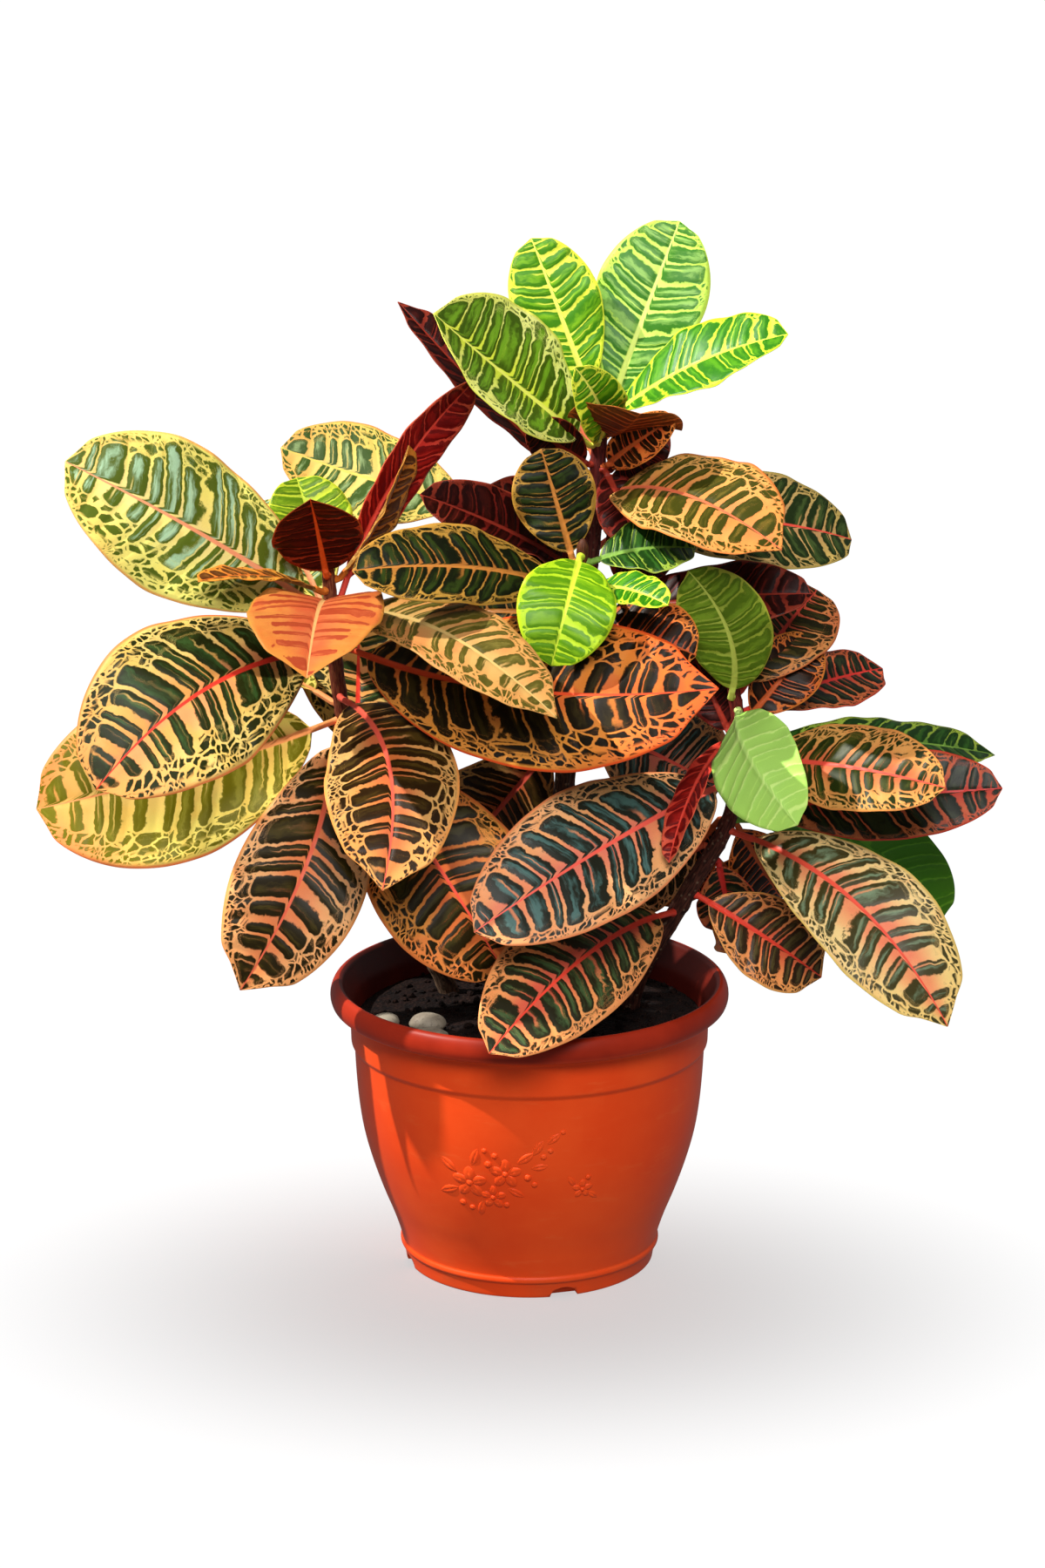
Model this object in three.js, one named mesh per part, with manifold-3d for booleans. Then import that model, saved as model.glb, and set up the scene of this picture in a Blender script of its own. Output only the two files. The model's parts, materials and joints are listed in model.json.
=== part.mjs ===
// A potted croton: a bellied plastic pot, soil with pebbles, four leafy stems and their broad waved leaves.
// Millimetres, +Z up, the origin at the middle of the pot's flat underside, the photographed side towards -Y.
import * as THREE from "three";
import Module from "manifold-3d";
import { mergeVertices } from "three/addons/utils/BufferGeometryUtils.js";

// ---------------------------------------------------------------- driving dimensions
const GAP = 0.3; // air left between two pieces that meet

// Pot
const RIM_R = 125; // widest radius of the rolled rim
const POT_H = 184; // height to the top of the rim
const NECK_R = 112; // wall radius just under the rim
const FOOT_R = 78.2; // radius of the flat underside
const WALL = 3.2; // wall thickness of the pot
const FLOOR = 5; // thickness of the pot's floor
const POT_SIDES = 36; // facets round the pot
const NOTCHES = 4; // drain notches round the foot
const NOTCH_R = 9; // half width of a drain notch
const NOTCH_H = 6.5; // height of a drain notch
const NOTCH_DEPTH = 7; // how far a notch reaches in from the foot's edge
const NOTCH_AT = 16; // degrees from the front to the first notch, counted towards +X
const NOTCH_SIDES = 10; // facets of the full round that a notch is half of

// Soil
const SOIL_TOP = 160; // level of the soil, 24 mm under the rim
const MOUND = 5; // the soil rises this much towards the middle
const SAGGED = 1.5; // the soil's edge lies this much lower than its level
const HOLE_REACH = 8; // how far a stem's hole is carried on above the soil

// Stems
const STEM_BURIED = 26; // how deep a stem stands in its hole
const STEM_FOOT = SOIL_TOP - STEM_BURIED; // height of a stem's lower end
const STEM_SIDES = 10;
const STEM_STEPS = 14; // rings along a stem
const FOOT_SWELLING = 0.25; // a stem is this much thicker at its foot, as a share of its radius
const SWELLING_FADE = 14; // how fast that is lost on the way up
const BUD = [[3, 0.8], [5.5, 0.35]]; // the bud at a stem's tip: distance past the tip, share of the radius

// Leaves
const BLADE = 1.0; // thickness of a blade
const PETIOLE_R = 2.0; // radius of a petiole
const PETIOLE_FLATNESS = 0.8; // its height as a share of its width
const PETIOLE_CORE = 0.35; // half the height of its straight sides
const PETIOLE_PART = 0.08; // share of a leaf's length that is petiole
const LONG_PETIOLES = { main_leaf_16: 0.42 }; // the leaves with a longer petiole
const TIP_R = 0.8; // half width of a blade's blunt tip
const RIB = 1.3; // how far the midrib stands out under a blade
const RIB_FADE = 0.8; // the share of that which is lost on the way to the tip
const WAVES = 1.9; // waves along each edge of a blade
const EDGE_LAG = 1.3; // how far the two edges' waves are out of step, in radians
const PHASE_KINDS = 7; // a leaf's waves start at one of this many places
const PHASE_STEP = 0.9; // radians from one such place to the next
const WAVE_HEIGHT = 0.075; // height of a wave, as a share of half the blade's width
const CURL = 0.1; // how far the edges turn down, as a share of half the blade's width
const COLLAR = 2.6; // length of the short neck where a petiole leaves its stem
const ROOTED = 2; // how deep a fused young leaf is set into its stem

// ---------------------------------------------------------------- materials
const COLOURS = {
  pot_plastic: 0xd2481e,
  soil: 0x1c1512,
  pebble: 0xb9b4a8,
  bark: 0x6a5546,
  leaf_young: 0x8fc428,
  leaf_mature: 0x2f5a2a,
  leaf_orange: 0xd9822f,
  leaf_red: 0x8a1c14,
  leaf_olive: 0x7da23c,
};

function material(slot) {
  return new THREE.MeshStandardMaterial({ name: slot, color: COLOURS[slot], roughness: 0.55 });
}

// ---------------------------------------------------------------- the stems
// Each stem: points up its middle line, radius at the foot, radius at the tip.
const STEMS = {
  main: { path: [[8, 20], [14, 24], [26, 28], [37, 30], [43, 30], [45, 30]],
    heights: [STEM_FOOT, 230, 340, 440, 520, 553], foot: 7.2, tip: 4.2 },
  left: { path: [[-46, 40], [-52, 38], [-81, 26], [-103, 10], [-117, -2], [-123, -9]],
    heights: [STEM_FOOT, 164, 229, 300, 370, 452], foot: 6.8, tip: 4.0 },
  middle: { path: [[12, -16], [15, -20], [21, -28], [28, -36], [32, -41]],
    heights: [STEM_FOOT, 230, 330, 410, 470], foot: 5.6, tip: 3.6 },
  right: { path: [[56, 8], [68, 7], [97, 3], [124, 0], [130, 0], [125, 0]],
    heights: [STEM_FOOT, 180, 236, 288, 334, 376], foot: 6.4, tip: 3.8 },
};

// ---------------------------------------------------------------- the leaves
// node, stem, height on the stem, tip, side the upper face looks to, width, arch, sweep, fold, slot.
// arch: how far the midrib bows towards the upper face; sweep: the same within the blade (both shares of
// the length); fold: degrees each half is lifted from flat.
const LEAVES = [
  // the tall main stem, from its tip down
  ["main_leaf_01", "main", 546, [1, 45, 643], [0.1, -1, 0.2], 56, 0.02, 0, 8, "leaf_young"],
  ["main_leaf_02", "main", 541, [92, 66, 650], [-0.1, -1, 0.3], 70, 0.02, 0, 8, "leaf_young"],
  ["main_leaf_03", "main", 518, [-57, -45, 613], [0.5, -0.75, 0.45], 84, -0.01, 0, 30, "leaf_young"],
  ["main_leaf_04", "main", 536, [156, 0, 592], [-0.3, -0.5, 0.85], 60, 0.08, 0, 14, "leaf_young"],
  ["main_leaf_05", "main", 526, [66, -42, 552], [-0.2, 0.95, 0.15], 74, -0.06, 0, 16, "leaf_red"],
  ["main_leaf_06", "main", 488, [-81, 60, 601], [0.6, -0.6, 0.5], 36, 0, -0.02, 22, "leaf_red"],
  ["main_leaf_07", "main", 488, [150, -75, 476], [0, -0.6, 0.8], 78, 0.15, 0, 10, "leaf_orange"],
  ["main_leaf_08", "main", 430, [-40, -8, 472], [0, -0.5, 0.85], 92, 0.1, 0, 34, "leaf_red"],
  ["main_leaf_09", "main", 467, [202, 78, 447], [0, -0.8, 0.6], 66, 0.12, 0, 12, "leaf_mature"],
  ["main_leaf_10", "main", 410, [173, -8, 433], [0, -0.7, 0.7], 48, 0.06, 0, 12, "leaf_red"],
  ["main_leaf_11", "main", 518, [66, 190, 572], [0, 0, 1], 74, 0.12, 0, 12, "leaf_mature"],
  ["main_leaf_12", "main", 505, [12, 215, 480], [0, 0, 1], 80, 0.12, 0, 12, "leaf_orange"],
  ["main_leaf_13", "main", 452, [140, 200, 420], [0, 0, 1], 80, 0.1, 0, 12, "leaf_mature"],
  ["main_leaf_14", "main", 344, [122, 78, 286], [0, -1, 0.3], 80, 0.04, 0, 10, "leaf_mature"],
  ["main_leaf_15", "main", 330, [-62, 92, 214], [0, -1, 0.3], 84, 0.06, 0, 10, "leaf_orange"],
  ["main_leaf_16", "main", 476, [-156, 92, 503], [0, -0.8, 0.6], 68, -0.12, 0, 10, "leaf_young"],
  // the left stem
  ["left_leaf_01", "left", 446, [-131, -52, 502], [0, -1, 0.1], 60, -0.05, 0, 22, "leaf_red"],
  ["left_leaf_02", "left", 440, [-143, 26, 498], [0.2, -0.8, 0.5], 54, 0.06, 0, 16, "leaf_olive"],
  ["left_leaf_03", "left", 442, [-73, -6, 525], [0.9, -0.3, 0], 40, 0.05, 0, 20, "leaf_orange"],
  ["left_leaf_04", "left", 430, [-30, 16, 564], [0.5, -0.7, 0], 36, -0.06, -0.04, 22, "leaf_red"],
  ["left_leaf_05", "left", 428, [-129, -165, 421], [0, -0.1, 1], 84, 0.12, 0, 16, "leaf_orange"],
  ["left_leaf_06", "left", 424, [-277, -52, 525], [0.1, -0.85, 0.5], 96, 0.06, 0, 8, "leaf_mature"],
  ["left_leaf_07", "left", 398, [-258, -110, 338], [0, -0.85, 0.5], 106, 0.12, 0.07, 8, "leaf_mature"],
  ["left_leaf_08", "left", 352, [-301, -45, 307], [0, -0.9, 0.4], 110, 0.06, -0.03, 8, "leaf_orange"],
  ["left_leaf_09", "left", 350, [-176, -85, 204], [0.1, -0.9, 0.3], 82, 0.12, -0.06, 8, "leaf_mature"],
  ["left_leaf_10", "left", 368, [-87, -145, 286], [0, -0.85, 0.5], 82, 0.12, -0.12, 8, "leaf_orange"],
  ["left_leaf_11", "left", 330, [-14, -62, 206], [0.1, -0.9, 0.4], 98, 0.1, 0, 8, "leaf_orange"],
  ["left_leaf_12", "left", 420, [16, -150, 393], [0, -0.5, 0.85], 56, 0.14, 0, 10, "leaf_orange"],
  ["left_leaf_13", "left", 400, [112, -112, 401], [0, -0.85, 0.5], 98, 0.06, 0.08, 6, "leaf_mature"],
  ["left_leaf_14", "left", 412, [-196, 165, 446], [0, 0, 1], 80, 0.14, 0, 10, "leaf_mature"],
  ["left_leaf_15", "left", 362, [-262, 112, 330], [0, 0.1, 1], 84, 0.14, 0, 10, "leaf_orange"],
  ["left_leaf_16", "left", 322, [-108, 95, 404], [0, -1, 0.1], 76, -0.04, 0, 8, "leaf_mature"],
  // the short middle stem
  ["middle_leaf_01", "middle", 460, [7, -25, 527], [0, -1, 0.2], 52, 0, 0, 12, "leaf_mature"],
  ["middle_leaf_02", "middle", 444, [-105, -90, 467], [0, -0.7, 0.7], 58, 0.1, 0, 10, "leaf_mature"],
  ["middle_leaf_03", "middle", 465, [13, -98, 411], [0, -0.95, 0.3], 60, 0.26, 0, 10, "leaf_young"],
  ["middle_leaf_04", "middle", 461, [100, -36, 468], [0, -0.5, 0.85], 48, 0.08, 0, 14, "leaf_mature"],
  ["middle_leaf_05", "middle", 422, [100, -66, 409], [0, -0.7, 0.7], 54, 0.1, 0, 12, "leaf_orange"],
  // the right stem
  ["right_leaf_01", "right", 367, [96, -35, 454], [-0.2, -1, 0.2], 58, 0.05, 0.13, 10, "leaf_olive"],
  ["right_leaf_02", "right", 358, [160, -110, 316], [-0.2, 0.9, 0.3], 60, -0.18, 0, 10, "leaf_olive"],
  ["right_leaf_03", "right", 368, [180, 60, 419], [0, -0.8, 0.6], 62, 0.1, 0, 10, "leaf_orange"],
  ["right_leaf_04", "right", 355, [224, 88, 361], [0, -0.7, 0.7], 46, 0.04, 0, 10, "leaf_mature"],
  ["right_leaf_05", "right", 334, [293, 52, 314], [0, -0.45, 0.9], 42, 0.05, 0, 10, "leaf_mature"],
  ["right_leaf_06", "right", 326, [250, -85, 332], [0, -0.8, 0.6], 60, 0.08, 0, 8, "leaf_orange"],
  ["right_leaf_07", "right", 296, [291, -20, 313], [0, -0.85, 0.5], 58, 0.02, 0, 8, "leaf_red"],
  ["right_leaf_08", "right", 288, [264, 70, 200], [0, 0.9, 0.4], 60, 0.03, 0.12, 10, "leaf_olive"],
  ["right_leaf_09", "right", 282, [254, -95, 184], [0.2, -0.85, 0.5], 76, 0.12, -0.06, 8, "leaf_mature"],
  ["right_leaf_10", "right", 240, [183, 0, 184], [0.1, -0.85, 0.5], 58, 0.06, 0, 10, "leaf_mature"],
  ["right_leaf_11", "right", 312, [-33, -135, 257], [0, -0.85, 0.5], 86, 0.1, 0, 8, "leaf_mature"],
  ["right_leaf_12", "right", 226, [-24, -150, 186], [0, -0.85, 0.5], 76, 0.1, 0.04, 8, "leaf_mature"],
  ["right_leaf_13", "right", 262, [150, 84, 196], [0, -0.9, 0.4], 80, 0.06, 0, 10, "leaf_mature"],
  ["right_leaf_14", "right", 266, [40, 44, 222], [0, -1, 0.2], 50, 0.02, 0, 8, "leaf_mature"],
];

// Young leaves fused to their stem near its tip, in the same columns.
const YOUNG_LEAVES = [
  ["main_young_leaf", "main", 502, [82, 34, 530], [0.1, -1, 0.3], 38, 0.04, 0, 10, "leaf_red"],
  ["left_young_leaf", "left", 436, [-196, -92, 461], [0, -0.2, 1], 28, 0.06, 0, 14, "leaf_orange"],
  ["middle_young_leaf", "middle", 444, [82, -98, 448], [0, -0.6, 0.8], 30, 0.1, 0, 14, "leaf_young"],
  ["right_young_leaf", "right", 343, [84, -95, 288], [-0.5, -0.8, 0.2], 22, 0.1, 0, 26, "leaf_red"],
];

// ---------------------------------------------------------------- closed skins
// A closed body from rings of points, each ring with the same number of points, the ends closed by fans.
// flip(k) says which quads of a ring take the other diagonal.
function skin(rings, flip) {
  const count = rings[0].length;
  const positions = [];
  const index = [];
  rings.forEach((ring) => ring.forEach((p) => positions.push(p.x, p.y, p.z)));
  for (let i = 0; i + 1 < rings.length; i += 1) {
    for (let k = 0; k < count; k += 1) {
      const next = (k + 1) % count;
      const a = i * count + k;
      const b = i * count + next;
      const c = (i + 1) * count + next;
      const d = (i + 1) * count + k;
      if (flip(k)) index.push(a, b, d, b, c, d);
      else index.push(a, b, c, a, c, d);
    }
  }
  capEnd(positions, index, 0, count, true);
  capEnd(positions, index, (rings.length - 1) * count, count, false);
  const geometry = new THREE.BufferGeometry();
  geometry.setAttribute("position", new THREE.Float32BufferAttribute(positions, 3));
  geometry.setIndex(index);
  geometry.computeVertexNormals();
  return geometry;
}

// The end of a skin: a strip of triangles laid across the ring from its first and last points.
function capEnd(positions, index, start, count, atStart) {
  const half = count / 2;
  for (let k = 0; k + 1 < half; k += 1) {
    const top = start + k;
    const topNext = start + k + 1;
    const under = start + count - 1 - k;
    const underNext = start + count - 2 - k;
    const quad = atStart
      ? [top, under, underNext, top, underNext, topNext]
      : [top, underNext, under, top, topNext, underNext];
    index.push(...quad);
  }
}

// ---------------------------------------------------------------- stems
function stemCurve(name) {
  const { path, heights } = STEMS[name];
  return new THREE.CatmullRomCurve3(path.map(([x, y], i) => new THREE.Vector3(x, y, heights[i])));
}

// The share of the way up a stem at which it reaches a height.
function shareAtHeight(curve, height) {
  let low = 0;
  let high = 1;
  for (let i = 0; i < 30; i += 1) {
    const middle = (low + high) / 2;
    if (curve.getPoint(middle).z < height) low = middle;
    else high = middle;
  }
  return (low + high) / 2;
}

function stemRadius(name, share) {
  const { foot, tip } = STEMS[name];
  const swelling = FOOT_SWELLING * Math.exp(-share * SWELLING_FADE);
  return THREE.MathUtils.lerp(foot, tip, share) * (1 + swelling);
}

// A ring round a stem.
function stemRing(centre, tangent, radius) {
  const side = new THREE.Vector3(1, 0, 0).addScaledVector(tangent, -tangent.x).normalize();
  const front = new THREE.Vector3().crossVectors(tangent, side);
  const ring = [];
  for (let k = 0; k < STEM_SIDES; k += 1) {
    const angle = (k / STEM_SIDES) * Math.PI * 2;
    ring.push(centre.clone()
      .addScaledVector(side, radius * Math.cos(angle))
      .addScaledVector(front, radius * Math.sin(angle)));
  }
  return ring;
}

// A stem with a blunt bud at its tip.
function stemGeometry(name) {
  const curve = stemCurve(name);
  const rings = [];
  for (let i = 0; i <= STEM_STEPS; i += 1) {
    const share = i / STEM_STEPS;
    rings.push(stemRing(curve.getPoint(share), curve.getTangent(share), stemRadius(name, share)));
  }
  const up = curve.getTangent(1);
  BUD.forEach(([distance, share]) => {
    const centre = curve.getPoint(1).addScaledVector(up, distance);
    rings.push(stemRing(centre, up, stemRadius(name, 1) * share));
  });
  return skin(rings, () => false);
}

// ---------------------------------------------------------------- leaves
const ACROSS = [-1, -0.5, 0, 0.5, 1]; // where the points of a blade lie between its two edges
const BLADE_STATIONS = [0, 0.12, 0.26, 0.42, 0.58, 0.73, 0.87, 0.96]; // where its rings lie along it
const BROADEST = 1.22; // above 1 the broadest place moves towards the tip
const FULLNESS = 0.56; // below 1 the outline is fuller

// Half the width of a blade at a share of its length.
function halfWidth(width, share) {
  const swell = Math.sin(Math.PI * Math.min(share, 0.999) ** BROADEST) ** FULLNESS;
  return PETIOLE_R + (width / 2 - PETIOLE_R) * swell;
}

// The middle line of a leaf: out of the stem, then a bowed curve to the tip.
function leafLine(leaf, gap) {
  const [, stem, height, tip, face, , arch, sweep] = leaf;
  const curve = stemCurve(stem);
  const share = shareAtHeight(curve, height);
  const centre = curve.getPoint(share);
  const axis = curve.getTangent(share);
  const end = new THREE.Vector3(...tip);
  const outward = end.clone().sub(centre);
  outward.addScaledVector(axis, -outward.dot(axis)).normalize();
  const root = centre.clone().addScaledVector(outward, stemRadius(stem, share) + gap);
  const start = root.clone().addScaledVector(outward, COLLAR);
  const chord = end.clone().sub(start);
  const length = chord.length();
  const along = chord.clone().normalize();
  const side = new THREE.Vector3().crossVectors(along, new THREE.Vector3(...face)).normalize();
  const normal = new THREE.Vector3().crossVectors(side, along);
  const bow = (part) => start.clone()
    .addScaledVector(chord, part)
    .addScaledVector(normal, (4 / 3) * arch * length)
    .addScaledVector(side, (4 / 3) * sweep * length);
  const line = new THREE.CubicBezierCurve3(start, bow(1 / 3), bow(2 / 3), end);
  return { root, outward, line, length, side };
}

// The two directions of a leaf's cross-section at one place on its middle line.
function leafFrame(tangent, side) {
  const across = side.clone().addScaledVector(tangent, -tangent.dot(side)).normalize();
  const upward = new THREE.Vector3().crossVectors(across, tangent);
  return { across, upward };
}

// A cross-section through the petiole: a flattened round.
function petioleRing(centre, across, upward, radius) {
  const height = (q) => PETIOLE_CORE + radius * PETIOLE_FLATNESS * Math.sqrt(1 - q * q);
  const point = (q, rise) => centre.clone()
    .addScaledVector(across, q * radius)
    .addScaledVector(upward, rise);
  const top = ACROSS.map((q) => point(q, height(q)));
  const under = ACROSS.map((q) => point(q, -height(q)));
  return [...top, ...under.reverse()];
}

// A cross-section through the blade: two halves folded up from the midrib, waved towards the edges.
function bladeRing(centre, across, upward, leaf, share) {
  const [node, , , , , width, , , fold] = leaf;
  const half = halfWidth(width, share);
  const lift = THREE.MathUtils.degToRad(fold);
  const phase = (node.charCodeAt(node.length - 1) % PHASE_KINDS) * PHASE_STEP;
  const swell = Math.sin(Math.PI * share);
  const rise = (q) => {
    const wave = Math.sin(2 * Math.PI * WAVES * share + phase + (q > 0 ? EDGE_LAG : 0));
    return half * (Math.abs(q) * Math.sin(lift) + q * q * swell * (WAVE_HEIGHT * wave - CURL));
  };
  const rib = (q) => (q === 0 ? RIB * (1 - RIB_FADE * share) : 0);
  const point = (q, offset) => centre.clone()
    .addScaledVector(across, q * half * Math.cos(lift))
    .addScaledVector(upward, rise(q) + offset);
  const top = ACROSS.map((q) => point(q, BLADE / 2));
  const under = ACROSS.map((q) => point(q, -BLADE / 2 - rib(q)));
  return [...top, ...under.reverse()];
}

function leafGeometry(leaf, gap) {
  const { root, outward, line, side } = leafLine(leaf, gap);
  const rings = [];
  const first = leafFrame(outward, side);
  rings.push(petioleRing(root, first.across, first.upward, PETIOLE_R));
  const bend = line.getTangent(0).add(outward).normalize();
  const second = leafFrame(bend, side);
  rings.push(petioleRing(line.getPoint(0), second.across, second.upward, PETIOLE_R));
  const petiole = LONG_PETIOLES[leaf[0]] ?? PETIOLE_PART;
  BLADE_STATIONS.forEach((share) => {
    const part = petiole + (1 - petiole) * share;
    const { across, upward } = leafFrame(line.getTangent(part), side);
    rings.push(bladeRing(line.getPoint(part), across, upward, leaf, share));
  });
  const tipFrame = leafFrame(line.getTangent(1), side);
  rings.push(petioleRing(line.getPoint(1), tipFrame.across, tipFrame.upward, TIP_R));
  const last = ACROSS.length - 1;
  return skin(rings, (k) => k > last && k < 2 * last + 1);
}

// ---------------------------------------------------------------- pot and soil
// Outside of the pot from the underside up to the rim's crown, then down the inside: [radius, height].
const POT_OUTSIDE = [
  [0, 0], [FOOT_R - 0.8, 0], [FOOT_R, 0.8], [79, 5], [80.2, 9.8], [81.7, 11.2], [81.7, 13.2], [80.8, 14.8],
  [82.4, 21], [86.4, 33], [92.6, 48], [99.6, 68], [105, 88], [107.8, 108], [109.2, 126], [109.9, 141.5],
  [NECK_R, 144.5], [NECK_R + 0.4, 158], [NECK_R + 1, 165], [RIM_R - 5, 167.5], [RIM_R - 1.4, 169.6],
  [RIM_R, 173.5], [RIM_R - 0.3, 178], [RIM_R - 2.2, 182.2], [RIM_R - 5, POT_H], [RIM_R - 7.6, 182.6],
  [RIM_R - 9, 179.5],
];
const POT_INSIDE = [
  [NECK_R - WALL + 1.6, 168], [NECK_R - WALL, 156], [109.9 - WALL, 139], [107.6 - WALL, 108],
  [99.2 - WALL, 68], [86 - WALL, 33], [79.6 - WALL, 12], [76 - WALL, FLOOR], [0, FLOOR],
];

function lathe(profile, sides) {
  const points = profile.map(([radius, height]) => new THREE.Vector2(radius, height));
  const geometry = new THREE.LatheGeometry(points, sides);
  geometry.rotateX(Math.PI / 2);
  return geometry;
}

const wasm = await Module();
wasm.setup();

// A geometry as a solid that can be cut and joined, and back again.
function solid(geometry) {
  const bare = new THREE.BufferGeometry();
  bare.setAttribute("position", geometry.getAttribute("position"));
  bare.setIndex(geometry.index);
  const merged = mergeVertices(bare, 1e-4);
  return new wasm.Manifold(new wasm.Mesh({
    numProp: 3,
    vertProperties: Float32Array.from(merged.attributes.position.array),
    triVerts: Uint32Array.from(merged.index.array),
  }));
}

function geometryOf(body) {
  const mesh = body.getMesh();
  const geometry = new THREE.BufferGeometry();
  geometry.setAttribute("position", new THREE.Float32BufferAttribute(mesh.vertProperties, 3));
  geometry.setIndex(new THREE.Uint32BufferAttribute(mesh.triVerts, 1));
  geometry.computeVertexNormals();
  return geometry;
}

// A flat arch through the foot, one drain notch.
function notchGeometry(angle) {
  const arch = new THREE.CylinderGeometry(NOTCH_R, NOTCH_R, NOTCH_DEPTH * 2, NOTCH_SIDES);
  arch.scale(1, 1, NOTCH_H / NOTCH_R);
  arch.translate(0, FOOT_R, 0);
  arch.rotateZ(angle);
  return arch;
}

function potGeometry() {
  let body = solid(lathe([...POT_OUTSIDE, ...POT_INSIDE], POT_SIDES));
  for (let i = 0; i < NOTCHES; i += 1) {
    const angle = THREE.MathUtils.degToRad(180 + NOTCH_AT + (360 / NOTCHES) * i);
    body = body.subtract(solid(notchGeometry(angle)));
  }
  return geometryOf(body);
}

// The soil's surface from its edge to the middle: [share of the radius, rise above its level].
const SURFACE = [[0.94, 0], [0.75, MOUND * 0.2], [0.5, MOUND * 0.5], [0.25, MOUND * 0.9], [0, MOUND]];
const HOLE_STATIONS = [0, 0.35, 0.7, 1]; // where the rings of a stem's hole lie, from its floor up

// The hole that a stem stands in, a little wider and deeper than the stem.
function holeGeometry(name) {
  const curve = stemCurve(name);
  const mouth = shareAtHeight(curve, SOIL_TOP + MOUND + HOLE_REACH);
  const rings = HOLE_STATIONS.map((part) => {
    const share = mouth * part;
    const centre = curve.getPoint(share);
    if (part === 0) centre.z -= GAP * 2;
    return stemRing(centre, curve.getTangent(share), stemRadius(name, share) + GAP * 2);
  });
  return skin(rings, () => false);
}

// The soil fills the pot, with one plain hole for each stem.
function soilGeometry() {
  const inside = [...POT_INSIDE].reverse()
    .filter(([, height]) => height < SOIL_TOP)
    .map(([radius, height]) => [Math.max(radius - GAP, 0), height === FLOOR ? height + GAP : height]);
  const edge = NECK_R - WALL - GAP;
  const top = SURFACE.map(([out, up]) => [edge * out, SOIL_TOP + up]);
  let body = solid(lathe([...inside, [edge, SOIL_TOP - SAGGED], ...top], POT_SIDES));
  Object.keys(STEMS).forEach((name) => {
    body = body.subtract(solid(holeGeometry(name)));
  });
  return geometryOf(body);
}

// A stem together with the young leaf that grows near its tip.
function leafyStemGeometry(name) {
  const young = YOUNG_LEAVES.filter(([, stem]) => stem === name);
  const bodies = young.map((leaf) => solid(leafGeometry(leaf, -ROOTED)));
  return geometryOf(bodies.reduce((all, body) => all.add(body), solid(stemGeometry(name))));
}

// ---------------------------------------------------------------- pebbles
// node, middle, half lengths along x, y and z, turn about z in degrees
const PEBBLES = [
  ["pebble_1", [-90, -36, 166.6], [10, 7.5, 6], 20],
  ["pebble_2", [-63, -42, 168.2], [12, 9, 6.6], -10],
  ["pebble_3", [-62, -62, 166.6], [12.5, 8, 5.6], 5],
];
const PEBBLE_SIDES = 12; // facets round a pebble
const PEBBLE_BANDS = 8; // and from its top to its underside

function pebbleGeometry([, middle, halves, turn]) {
  const geometry = new THREE.SphereGeometry(1, PEBBLE_SIDES, PEBBLE_BANDS);
  geometry.scale(...halves);
  geometry.rotateZ(THREE.MathUtils.degToRad(turn));
  geometry.translate(...middle);
  return geometryOf(solid(geometry));
}

// ---------------------------------------------------------------- assembly
const plant = new THREE.Group();
plant.name = "potted_croton";

function add(name, geometry, slot) {
  const mesh = new THREE.Mesh(geometry, material(slot));
  mesh.name = name;
  plant.add(mesh);
}

add("pot", potGeometry(), "pot_plastic");
add("soil", soilGeometry(), "soil");
PEBBLES.forEach((pebble) => add(pebble[0], pebbleGeometry(pebble), "pebble"));
Object.keys(STEMS).forEach((name) => add(`${name}_stem`, leafyStemGeometry(name), "bark"));
LEAVES.forEach((leaf) => add(leaf[0], leafGeometry(leaf, GAP), leaf[9]));

export default plant;
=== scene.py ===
"""The finished look of a potted croton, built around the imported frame: leaves with raised veins and painted
patterns, bark, a pot with low relief, soil and pebbles. +Z is up and the photographed side faces -Y.
Lengths are in millimetres until a mesh is made. The stage and object coordinates are in metres."""

import json
import math
import random
from functools import cache

import bpy
import numpy as np
from mathutils import Matrix, Vector, noise


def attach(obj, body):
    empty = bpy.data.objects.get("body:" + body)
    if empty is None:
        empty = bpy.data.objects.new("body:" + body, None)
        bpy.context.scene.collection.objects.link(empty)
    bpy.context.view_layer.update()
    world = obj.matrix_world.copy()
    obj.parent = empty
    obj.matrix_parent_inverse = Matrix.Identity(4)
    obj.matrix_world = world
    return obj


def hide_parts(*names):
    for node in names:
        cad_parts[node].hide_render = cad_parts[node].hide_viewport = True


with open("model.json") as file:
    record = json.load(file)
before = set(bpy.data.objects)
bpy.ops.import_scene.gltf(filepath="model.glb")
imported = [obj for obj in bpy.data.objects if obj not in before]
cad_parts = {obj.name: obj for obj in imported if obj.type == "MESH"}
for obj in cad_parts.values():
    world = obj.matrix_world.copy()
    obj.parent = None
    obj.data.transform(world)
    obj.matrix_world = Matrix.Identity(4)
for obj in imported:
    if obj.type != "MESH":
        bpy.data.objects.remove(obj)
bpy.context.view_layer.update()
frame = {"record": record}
SLOT_OF = {part["node"]: part["material_slot"] for part in frame["record"]["subparts"]}

# -------------------------------- driving dimensions, in millimetres
MM = 0.001  # one millimetre in metres

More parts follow.
